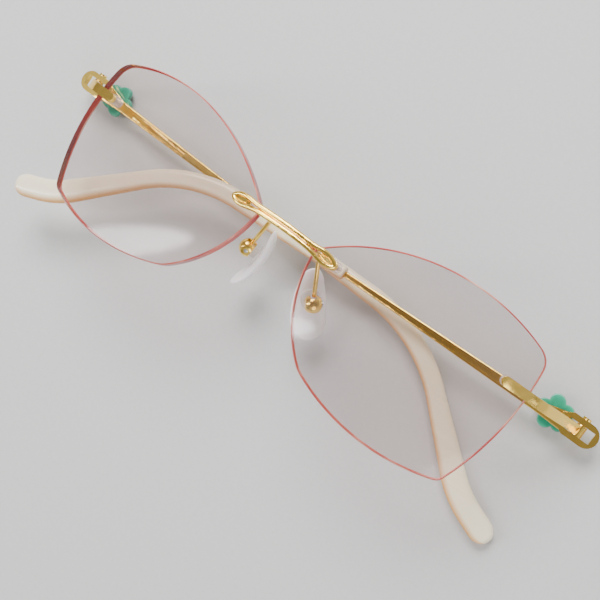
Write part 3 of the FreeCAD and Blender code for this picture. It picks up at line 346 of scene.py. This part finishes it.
# %% Tip plastic
def ivory_finish():
    finish = Finish("ivory")
    grain = finish.noise(150, 4, (0.35, 1.6, 1.6))
    cloud = finish.noise(45, 2)
    body = finish.blend(grain, (0.95, 0.87, 0.68, 1), (0.88, 0.76, 0.52, 1))
    warm = finish.ramp(finish.attribute("low") + cloud * 0.10 - 0.05,
                       [(0.74, (0, 0, 0, 1)), (0.97, (1, 1, 1, 1))])
    colour = finish.blend(warm, body, (0.74, 0.36, 0.09, 1))
    return finish.surface({"Base Color": colour, "Roughness": 0.22 + grain * 0.10,
                           "Coat Weight": 0.35, "Subsurface Weight": 0.12,
                           "Subsurface Scale": 0.0008,
                           "Normal": finish.bump(grain, 0.00001)})


IVORY = ivory_finish()
print("made", IVORY.name)

# %% [markdown]
# ## Carved green stone
# The flowers are cut from a green stone with veins. The carved valleys get their dark only from real shade.
# Towards the thin rims the colour is painted paler, as painted light standing in for light that gets through them.
# The grid stores how near the rim a point is.

# %% Flower stone
def jade_finish():
    finish = Finish("jade")
    veins = finish.noise(520, 5)
    rim = finish.attribute("rim")
    body = finish.blend(veins, (0.004, 0.20, 0.115, 1), (0.012, 0.36, 0.22, 1))
    # Painted light: paler green towards the rim, standing in for light coming through the thin rims.
    colour = finish.blend(rim ** 6 * 0.5, body, (0.06, 0.60, 0.40, 1))
    return finish.surface({"Base Color": colour, "Roughness": 0.14 + veins * 0.10,
                           "Coat Weight": 0.5,
                           "Normal": finish.bump(veins, 0.000012)})


JADE = jade_finish()
print("made", JADE.name)

# %% [markdown]
# ## Silicone and clear plastic
# Soft pads are milky: light goes in, scatters and comes out again, so some of it is given
# to subsurface. The sleeves in the lens holes and the pad inserts are clear and nearly
# vanish, so they are mostly let through by alpha.

# %% Soft and clear finishes
def silicone_finish():
    finish = Finish("silicone")
    cloud = finish.noise(240, 3)
    skin = finish.noise(1900, 2)
    # Painted shade: the white fades in soft clouds to a lavender grey that stands in for shade, laid on at random.
    colour = finish.blend(cloud, (0.97, 0.97, 0.985, 1), (0.86, 0.85, 0.91, 1))
    return finish.surface({"Base Color": colour, "Roughness": 0.30 + skin * 0.14,
                           "Subsurface Weight": 0.35, "Subsurface Scale": 0.0008,
                           "Normal": finish.bump(skin, 0.000008)})


def clear_finish():
    finish = Finish("clear_plastic")
    haze = finish.noise(420, 2)
    colour = finish.blend(haze, (0.97, 0.93, 0.92, 1), (0.90, 0.80, 0.80, 1))
    return finish.surface({"Base Color": colour, "Roughness": 0.06 + haze * 0.08,
                           "Alpha": 0.34 + haze * 0.16, "Coat Weight": 0.7})


SILICONE, CLEAR = silicone_finish(), clear_finish()
print("made", SILICONE.name, CLEAR.name)

# %% [markdown]
# ## The camera
# The camera comes early, so that every later step can be looked at from the same place:
# high over the lenses, to the wearer's left, turned so that the glasses lie on a slant.
# Its matrix holds the three directions that a camera has: right, up and backwards.

# %% Camera
CAMERA_PLACE = Vector((61.47, 14.82, 197.32)) * MM
SIGHT = Vector((-0.2798, -0.0854, -0.9563))
UPWARD = Vector((-0.5732, 0.8139, 0.0950))

camera_data = bpy.data.cameras.new("camera")
camera_data.lens, camera_data.sensor_width = 54, 36
camera_data.clip_start, camera_data.clip_end = 0.01, 10
camera = bpy.data.objects.new("camera", camera_data)
bpy.context.scene.collection.objects.link(camera)
backward = -SIGHT.normalized()
rightward = UPWARD.cross(backward).normalized()
facing = Matrix([rightward, backward.cross(rightward), backward]).transposed()
camera.matrix_world = facing.to_4x4()
camera.location = CAMERA_PLACE
bpy.context.scene.camera = camera
print("camera at", [round(value, 4) for value in camera.location])

# %% [markdown]
# ## The lenses: where they are
# A lens is a thin cap of a sphere, and it is easiest to work out lying flat about its own
# centre. Two functions go between that and the frame. The right lens is the mirror image
# of the left, so both use the left one's turn, with the sign of x changed.

# %% Lens measures
LENS_CENTRE = Vector((34.0, 2.98, 24.91)) * MM
LENS_WRAP = math.radians(6.2)
FRONT_RADIUS = 110.0 * MM
THICKNESS = 1.9 * MM
BEVEL = 0.25 * MM
HOLE_RADIUS = 0.75 * MM
HOLE_PITCH = 2.7 * MM
MOUNTS = [(-22.4 * MM, 5.9 * MM), (20.4 * MM, 7.2 * MM)]      # across and up, each lens


def to_lens(points, side):
    """From the frame to a lens's own axes: move to its apex, then undo its wrap."""
    moved = (points - np.array(LENS_CENTRE) * [side, 1, 1]) * [side, 1, 1]
    cosine, sine = math.cos(LENS_WRAP), math.sin(LENS_WRAP)
    return np.stack([moved[..., 0] * cosine - moved[..., 2] * sine, moved[..., 1],
                     moved[..., 0] * sine + moved[..., 2] * cosine], axis=-1)


def from_lens(points, side):
    """From a lens's own axes to the frame: the wrap, then the move to its apex."""
    cosine, sine = math.cos(LENS_WRAP), math.sin(LENS_WRAP)
    turned = np.stack([points[..., 0] * cosine + points[..., 2] * sine, points[..., 1],
                       points[..., 2] * cosine - points[..., 0] * sine], axis=-1)
    return turned * [side, 1, 1] + np.array(LENS_CENTRE) * [side, 1, 1]


print("left lens apex", from_lens(np.zeros(3), LEFT))

# %% [markdown]
# ## The outline of a lens
# The edged shape is read from the design, so that the two can't disagree. Drawn round its
# outermost corners, it gives one distance from the centre for each direction.

# %% Outline
def outline_radius(flat, angles):
    """The distance from the centre to the edge at each angle. The outline bulges all the
    way round, so its corners are the convex hull of all the points."""
    hull = flat[convex_hull_2d(flat.tolist())]
    angle = np.arctan2(hull[:, 1], hull[:, 0]) % FULL_TURN
    order = np.argsort(angle)
    reach = np.interp(angles, angle[order], np.hypot(*hull[order].T), period=FULL_TURN)
    return soften(soften(reach))


def soften(reach):
    """Each value moved towards the mean of its two neighbours."""
    return reach / 2 + (np.roll(reach, 1) + np.roll(reach, -1)) / 4


left_outline = outline_radius(to_lens(node_points("lens_left"), LEFT)[:, :2], np.zeros(1))
print("left lens reaches out", left_outline / MM, "mm from its apex")

# %% [markdown]
# ## The surface of a lens
# Rings run from the centre of the front out over the bevel, down the edge, over the other
# bevel and back to the centre of the rear. Each row of faces knows which finish it has.

# %% Lens surface
CLEAR_FACE, EDGE_FACE, BEVEL_FACE = 0, 1, 2


def cap_height(flat, radius):
    """How far a sphere of this radius has fallen at a point off its crown."""
    return np.sqrt(radius ** 2 - (flat ** 2).sum(-1)) - radius


def lens_surface(side, directions=480, rings=30):
    """Front height is the fall of the outer sphere, rear height that of the inner one about
    the same centre. Between them the wall is straight, and each bevel is cut at 45 degrees."""
    local = to_lens(node_points(f"lens_{SIDE_NAME[side]}"), side)
    angles = np.linspace(0, FULL_TURN, directions, endpoint=False)
    edge = outline_radius(local[:, :2], angles)
    share = np.sin(np.linspace(0, np.pi / 2, rings))
    inner = share[:, None] * (edge - BEVEL)
    reach = np.vstack([inner, edge, edge, inner[::-1]])
    flat = reach[..., None] * np.stack([np.cos(angles), np.sin(angles)], axis=-1)
    front = cap_height(flat, FRONT_RADIUS)
    rear = cap_height(flat, FRONT_RADIUS - THICKNESS) - THICKNESS
    height = np.vstack([front[:rings], front[rings:rings + 1] - BEVEL,
                        rear[rings + 1:rings + 2] + BEVEL, rear[rings + 2:]])
    points = from_lens(np.concatenate([flat, height[..., None]], axis=-1), side)
    finish = np.full(2 * rings + 1, CLEAR_FACE)
    finish[rings - 1:rings + 2] = BEVEL_FACE, EDGE_FACE, BEVEL_FACE
    return points, finish


print("rows of faces in a lens:", len(lens_surface(LEFT)[1]))

# %% [markdown]
# ## Drilling the lenses
# Each mount has two holes. A hole in a grid of rings would break the grid, so the lens is
# made whole and the holes are cut with a boolean, as a drill would do it.

# %% Holes
DRILL_LONG = 6 * MM


def drill_bit(across, up, side, sides=24):
    """A closed cylinder: two rings of points with a pole at each end."""
    angles = np.linspace(0, FULL_TURN, sides, endpoint=False)
    reach = np.array([0, HOLE_RADIUS, HOLE_RADIUS, 0])[:, None]
    height = np.array([1, 1, -1, -1])[:, None] * DRILL_LONG / 2 + np.zeros(sides)
    points = np.stack([across + reach * np.cos(angles), up + reach * np.sin(angles), height],
                      axis=-1)
    return grid_piece("drill_bit", from_lens(points, side))


def drill_lens(piece, side):
    """Cut the four holes with short cylinders, then drop the cylinders."""
    for across, up in MOUNTS:
        for shift in (-HOLE_PITCH / 2, HOLE_PITCH / 2):
            bit = drill_bit(across + shift, up, side)
            cut = piece.modifiers.new("drill", "BOOLEAN")
            cut.operation, cut.object = "DIFFERENCE", bit
            bpy.context.view_layer.objects.active = piece
            bpy.ops.object.modifier_apply(modifier=cut.name)
            bpy.data.objects.remove(bit)


print("holes in a lens:", 2 * len(MOUNTS))

# %% [markdown]
# ## Making the two lenses
# The front and rear stay smooth, while the edge turns sharply into the bevels.

# %% Make the lenses
LENS_CREASE = math.radians(35)

for side in (LEFT, RIGHT):
    name = f"lens_{SIDE_NAME[side]}"
    points, finish = lens_surface(side)
    lens = grid_piece(f"{name}_polished", points, face_finish=finish)
    drill_lens(lens, side)
    for material in (LENS, LENS_EDGE, LENS_BEVEL):
        lens.data.materials.append(material)
    lens.data.set_sharp_from_angle(angle=LENS_CREASE)
    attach(lens, "front")
    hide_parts(name)
    print(lens.name, "faces", len(lens.data.polygons))

# %% [markdown]
# ## The path of a temple tip
# A tip is one section carried along one path. The path runs straight, bends down behind
# the ear, straightens and flares back, so its heading is constant, then ramps, then is
# constant again: adding up short steps in that heading draws it.

# %% Tip path
TIP_CORNERS = np.array([(58.5, -1.9), (100.5, -2.6), (127.0, -26.3), (136.0, -29.6)]) * MM
TIP_BENDS = np.array([36.0, 24.0]) * MM
TIP_HEIGHTS = np.array([3.1, 4.3, 5.6, 5.6]) * MM
TIP_ROUND_END = 3.4 * MM           # run over which the end closes
TIP_PAST_CORNER = 0.45             # share of it that lies past the last corner
END_CROWDING = 0.035               # rows crowd a little towards the end, to make it round


def tip_path(steps=260):
    """Length along the path, points, headings and heights, and the whole length. Each corner
    is replaced by an arc of its radius, which starts and ends a tangent length before and
    after it. A heading holds for a leg and turns evenly in between."""
    legs = np.diff(TIP_CORNERS, axis=0)
    headings = np.arctan2(legs[:, 1], legs[:, 0])
    turns = np.abs(np.diff(headings))
    tangents = TIP_BENDS * np.tan(turns / 2)
    straight = np.hypot(*legs.T) - np.r_[tangents, 0] - np.r_[0, tangents]
    arcs = TIP_BENDS * turns
    knots = np.cumsum([0, straight[0], arcs[0], straight[1], arcs[1], straight[2]])
    total = knots[-1] + TIP_ROUND_END * TIP_PAST_CORNER
    share = np.linspace(0, 1, steps)
    length = total * (share + END_CROWDING * np.sin(np.pi * share) * share)
    heading = np.interp(length, knots, headings[[0, 0, 1, 1, 2, 2]])
    middle = (heading[1:] + heading[:-1]) / 2
    stride = np.diff(length)[:, None] * np.stack([np.cos(middle), np.sin(middle)], -1)
    points = TIP_CORNERS[0] + np.vstack([[0, 0], np.cumsum(stride, axis=0)])
    height = np.interp(length, knots, TIP_HEIGHTS[[0, 1, 1, 2, 2, 3]])
    return length, points, heading, height, total


print("tip length", round(tip_path()[-1] / MM, 1), "mm")

# %% [markdown]
# ## The section of a temple tip
# The section is a soft rectangle, taller towards the paddle, which closes in a round end.
# How low a point lies on the section is kept, because the finish darkens the lower edge.

# %% Tip surface
TIP_THICKNESS = 3.0 * MM
TIP_SQUARENESS = 2.7               # 2 would be an ellipse, and more is squarer
LIP_RUN, LIP_START = 0.5 * MM, 0.86        # the open end is rounded over this run, from here
END_FLATNESS, END_CLOSING = 1.35, 4        # the thickness closes later than the height


def tip_surface(around=64):
    """Section: |y|^n + |z|^n = 1, scaled to half the height and half the thickness. Over the
    round end the height shrinks as the square root of 1 - t squared, the thickness later."""
    length, path, heading, height, total = tip_path()
    close = np.clip((length - total + TIP_ROUND_END) / TIP_ROUND_END, 0, 1)
    squeeze = np.sqrt(1 - close ** 2)
    mouth = np.clip(length / LIP_RUN, 0, 1)
    lip = LIP_START + (1 - LIP_START) * np.sqrt(1 - (1 - mouth) ** 2)
    thinning = np.minimum(1, squeeze * END_FLATNESS) * np.minimum(1, squeeze * END_CLOSING)
    angles = np.linspace(0, FULL_TURN, around, endpoint=False)
    power = 2 / TIP_SQUARENESS
    up = np.sign(np.sin(angles)) * np.abs(np.sin(angles)) ** power
    out = np.sign(np.cos(angles)) * np.abs(np.cos(angles)) ** power
    rise = up * (height / 2 * squeeze * lip)[:, None]
    depth = out * (TIP_THICKNESS / 2 * thinning * lip)[:, None]
    x = path[:, :1] - rise * np.sin(heading)[:, None]
    y = path[:, 1:] + rise * np.cos(heading)[:, None]
    low = (1 - up) / 2 + np.zeros_like(rise)
    points = np.stack([x, y, depth], axis=-1)
    # close the mouth and the end with a pole each
    first, last = points[:1].mean(1, keepdims=True), points[-1:].mean(1, keepdims=True)
    ends = [np.repeat(first, around, 1), points, np.repeat(last, around, 1)]
    return np.concatenate(ends), np.vstack([low[:1], low, low[-1:]])


print("points in a tip:", tip_surface()[1].size)

# %% [markdown]
# ## Placing a temple
# A temple is worked out with x from its hinge to its tip. The hinge itself comes from the
# joints of the design, so that the tips follow if the hinge is moved there.

# %% Make the tips
def to_frame(points, side):
    """From a temple's own axes to the frame. The folding range gives its tilt: the temple
    folded first opens through more than a right angle, the other through less."""
    joint = JOINTS[f"{SIDE_NAME[side]}_hinge"]
    tilt = math.radians(abs(joint["range_deg"][1] - 90))
    rotation = math.pi + tilt if side == LEFT else tilt
    cosine, sine = math.cos(rotation), math.sin(rotation)
    x, y, z = points[..., 0], points[..., 1], points[..., 2]
    turned = np.stack([x * cosine + z * sine, y, z * cosine - x * sine], axis=-1)
    return turned + np.array(joint["pos_m"])


for side in (LEFT, RIGHT):
    name = f"temple_tip_{SIDE_NAME[side]}"
    points, low = tip_surface()
    tip = grid_piece(f"{name}_cast", to_frame(points, side), weights={"low": low})
    tip.data.materials.append(IVORY)
    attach(tip, f"{SIDE_NAME[side]}_temple")
    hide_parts(name)
    print(tip.name, "faces", len(tip.data.polygons))

# %% [markdown]
# ## The shape of a flower
# Five round petals about a hub. From the middle, the edge is as far as the rim of the
# nearest petal, which is plain trigonometry. Each petal is a low dome with a valley either
# side, and the middle is sunk for the rivet. The section is a closed loop round a hole.

# %% Flower surface
PETALS = 5
PETAL_REACH, PETAL_RADIUS = 2.35 * MM, 1.75 * MM
FLOWER_THICK, FLOWER_SEAT = 2.0 * MM, 1.6 * MM
RIVET_STEM, RIVET_HEAD = 0.5 * MM, 1.15 * MM
SEAT_RIM = 0.35 * MM               # run from the rivet's seat up to the petals
SEAT_CURVE = 0.7                   # under 1, so that the petals rise steeply from the seat
VALLEY_SHARE = 0.34                # how much of the thickness a valley takes at the rim
VALLEY_CURVE = 1.5                 # over 1, so that the valleys deepen towards the rim
RIM_DROP = 0.55 * MM               # how far the dome has fallen at the rim
RIM_CURVE, RIM_LIMIT = 6, 0.999    # flat until near the rim, and not quite upright at it
WAIST_HEIGHT, BASE_SHARE = 0.7 * MM, 0.93  # where the rim turns under, and how far in


def flower_surface(directions=300, rings=26):
    """Edge distance at an angle p off the nearest petal: d cos p + sqrt(r^2 - (d sin p)^2).
    Height falls to the rim as 1 - sqrt(1 - t^6), and dips between petals as 1 - cos 5p."""
    angles = np.linspace(0, FULL_TURN, directions, endpoint=False)
    sector = FULL_TURN / PETALS
    off = (angles + sector / 2) % sector - sector / 2
    half_chord = np.sqrt(PETAL_RADIUS ** 2 - (PETAL_REACH * np.sin(off)) ** 2)
    edge = PETAL_REACH * np.cos(off) + half_chord
    share = np.sin(np.linspace(0, np.pi / 2, rings))
    reach = RIVET_STEM + share[:, None] * (edge - RIVET_STEM)
    rim = share[:, None] + np.zeros(directions)
    valley = (1 - np.cos(PETALS * angles)) / 2 * rim ** VALLEY_CURVE
    fall = RIM_DROP * (1 - np.sqrt(1 - rim ** RIM_CURVE * RIM_LIMIT))
    crown = FLOWER_THICK * (1 - VALLEY_SHARE * valley) - fall
    seated = np.clip((reach - RIVET_HEAD) / SEAT_RIM, 0, 1)
    top = FLOWER_SEAT + (crown - FLOWER_SEAT) * seated ** SEAT_CURVE
    waist = np.full((1, directions), WAIST_HEIGHT)
    base = np.zeros((1, directions))
    tucked = RIVET_STEM + BASE_SHARE * (edge - RIVET_STEM)
    distance = np.vstack([reach, edge, tucked, np.full(directions, RIVET_STEM)])
    height = np.vstack([top, waist, base, base])
    near_rim = np.vstack([rim, np.ones((2, directions)), np.zeros((1, directions))])
    points = np.stack([distance * np.cos(angles), distance * np.sin(angles), height], axis=-1)
    return points, near_rim


print("points in a flower:", flower_surface()[1].size)

# %% [markdown]
# ## Seating the flowers
# A flower sits on its collar, on the outer face of the arm. The collar in the design gives
# both how far along the arm that is and how high.

# %% Make the flowers
PETAL_CREASE = math.radians(50)


def on_collar(points, side):
    """Turn a flower to the outer face of its arm and put its base on top of the collar. The
    middle of the collar's corners gives the place along the arm, the furthest the height."""
    outer = 1 if side == LEFT else -1
    hinge = to_frame(np.zeros(3), side)
    axes = to_frame(np.eye(3), side) - hinge
    collar = (node_points(f"flower_collar_{SIDE_NAME[side]}") - hinge) @ axes.T
    seat = outer * (collar[:, 2] * outer).max()
    return to_frame(points * [1, outer, outer] + [collar[:, 0].mean(), 0, seat], side)


for side in (LEFT, RIGHT):
    name = f"flower_{SIDE_NAME[side]}"
    points, rim = flower_surface()
    flower = grid_piece(f"{name}_carved", on_collar(points, side), wrap_rows=True,
                        weights={"rim": rim})
    flower.data.materials.append(JADE)
    flower.data.set_sharp_from_angle(angle=PETAL_CREASE)
    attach(flower, f"{SIDE_NAME[side]}_temple")
    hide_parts(name)
    print(flower.name, "faces", len(flower.data.polygons))

# %% [markdown]
# ## Which way a nose pad lies
# A pad is a soft teardrop. Its plane is read from the design, where it is a plain slab: the
# direction in which the slab's corners spread most is its length, and least its normal.

# %% Pad axes
def slab_axes(points, towards):
    """The middle of a slab and its axes: across, along and normal. Along points to the
    brow, and the normal points to the side that towards is on."""
    _, _, spread = np.linalg.svd(points - points.mean(0), full_matrices=False)
    along, normal = spread[0] * np.sign(spread[0][1]), spread[2]
    normal = normal * np.sign((towards - points.mean(0)) @ normal)
    return points.mean(0), np.array([np.cross(along, normal), along, normal])


print("left pad lies along", slab_axes(node_points("nose_pad_left"), np.zeros(3))[1][1])

# %% [markdown]
# ## The shape of a nose pad
# Both faces are crowned, and the whole pad bows, so that its ends curl towards the pad box
# and its middle towards the nose.

# %% Pad surface
PAD_BOW = 1.9 * MM
PAD_THICK = 1.9 * MM


def pad_surface(name, towards, directions=200, rings=24):
    """Half thickness at a share t of the way to the edge is the square root of 1 - t^4,
    which is flat in the middle and round at the edge. The bow is along squared."""
    slab = node_points(name)
    middle, axes = slab_axes(slab, towards)
    local = (slab - middle) @ axes.T
    centre = (local.min(0) + local.max(0)) / 2
    local = local - centre
    angles = np.linspace(0, FULL_TURN, directions, endpoint=False)
    edge = outline_radius(local[:, :2], angles)
    share = np.sin(np.linspace(0, np.pi / 2, rings))
    half = PAD_THICK / 2 * (1 - share ** 4) ** 0.5
    reach = np.concatenate([share, share[-2::-1]])[:, None] * edge
    height = np.concatenate([half, -half[-2::-1]])[:, None] + np.zeros(directions)
    x, y = reach * np.cos(angles), reach * np.sin(angles)
    bow = PAD_BOW * (y / np.abs(y).max()) ** 2
    points = np.stack([x, y, height + bow], axis=-1) + centre
    return points @ axes + middle


for side in (LEFT, RIGHT):
    name = f"nose_pad_{SIDE_NAME[side]}"
    joint = JOINTS[f"{SIDE_NAME[side]}_pad_rock"]
    nose_pad = grid_piece(f"{name}_moulded", pad_surface(name, np.array(joint["pos_m"])))
    nose_pad.data.materials.append(SILICONE)
    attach(nose_pad, f"{SIDE_NAME[side]}_pad")
    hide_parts(name)
    print(nose_pad.name, "faces", len(nose_pad.data.polygons))

# %% [markdown]
# ## The metal pieces
# Wire, strip, boxes and screws keep the shapes of the design. The design's triangles are
# loose, so a copy of each piece is merged, shaded smooth across its curves, and given a
# hair of a bevel along its sharp edges, which is where polished metal catches the light.

# %% Finish the metal and clear pieces
EDGE_BREAK = 0.12 * MM
CURVE_LIMIT, EDGE_LIMIT = math.radians(32), math.radians(40)


def finished_copy(node, material, body):
    """A merged copy of a node, smooth where it curves and sharp where it turns."""
    mesh = frame["nodes"][node].data.copy()
    mesh.materials.clear()
    close_and_turn_outward(mesh, merge=1e-6)
    mesh.set_sharp_from_angle(angle=CURVE_LIMIT)
    mesh.materials.append(material)
    piece = bpy.data.objects.new(f"{node}_finished", mesh)
    bpy.context.scene.collection.objects.link(piece)
    edge = piece.modifiers.new("edge", "BEVEL")
    edge.width, edge.segments = EDGE_BREAK, 2
    edge.limit_method, edge.angle_limit = "ANGLE", EDGE_LIMIT
    edge.harden_normals = True
    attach(piece, body)
    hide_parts(node)
    return piece


BODY_OF = {node: body for body, nodes in frame["record"]["behaviour"]["bodies"].items()
           for node in nodes}
SLOT_OF = {row["node"]: row["material_slot"] for row in frame["record"]["subparts"]}
MATERIAL_OF = {"gold": GOLD, "steel": STEEL, "clear_plastic": CLEAR}
metal_pieces = [finished_copy(node, MATERIAL_OF[slot], BODY_OF[node])
                for node, slot in SLOT_OF.items() if slot in MATERIAL_OF]
print("finished", len(metal_pieces), "pieces")

# %% [markdown]
# ## Floor
# A plain pale floor, a shade darker than the white pads so that they stand out on it.

# %% Floor
def pale_floor(half=1.2, level=0.0):
    corners = [(-half, -half, level), (half, -half, level), (half, half, level),
               (-half, half, level)]
    mesh = bpy.data.meshes.new("floor")
    mesh.from_pydata(corners, [], [(0, 1, 2, 3)])
    finish = Finish("floor")
    speckle = finish.noise(900, 2)
    mesh.materials.append(finish.surface({
        "Base Color": finish.blend(speckle, (0.52, 0.52, 0.525, 1), (0.58, 0.58, 0.58, 1)),
        "Roughness": 0.62 + speckle * 0.1}))
    floor = bpy.data.objects.new("floor", mesh)
    bpy.context.scene.collection.objects.link(floor)
    return floor


print("made", pale_floor().name)

# %% [markdown]
# ## Lights
# One large soft light from the brow side, a second to lift the shadows, and a long strip
# that draws the bright lines along the gold. All aim at the middle of the table. They are
# ellipses, because a lens reflects the outline of its light.

# %% Lights
def soft_light(name, place, power, width, height):
    """An elliptical light, placed and sized in metres, with its power in watts."""
    data = bpy.data.lights.new(name, "AREA")
    data.shape, data.size, data.size_y, data.energy = "ELLIPSE", width, height, power
    light = bpy.data.objects.new(name, data)
    light.location = place
    light.rotation_euler = (-Vector(place)).to_track_quat("-Z", "Y").to_euler()
    bpy.context.scene.collection.objects.link(light)


soft_light("key", (-0.25, 0.45, 0.55), power=10.0, width=0.55, height=0.40)
soft_light("fill", (0.55, -0.35, 0.40), power=3.0, width=0.60, height=0.60)
soft_light("strip", (-0.45, -0.30, 0.50), power=3.0, width=0.10, height=0.70)
print("lights:", [light.name for light in bpy.data.lights])

# %% [markdown]
# ## The room
# The room is brighter in some directions than in others, because gold in an even white
# room looks like paint. A wide noise over the sky, through a ramp, gives a few soft bands.

# %% Room
world = bpy.data.worlds.new("room")
world.use_nodes = True
room = Shading(world.node_tree, "ShaderNodeOutputWorld")
bands = room.node("ShaderNodeTexNoise", {}, {
    "Vector": room.node("ShaderNodeTexCoord", output="Generated"), "Scale": 1.6})
walls = room.ramp(bands, [(0.40, (0.36, 0.33, 0.29, 1)), (0.62, (1.0, 1.0, 1.0, 1))])
room.show(room.node("ShaderNodeBackground", {}, {"Color": walls, "Strength": 0.75}))
bpy.context.scene.world = world
print("made", world.name)
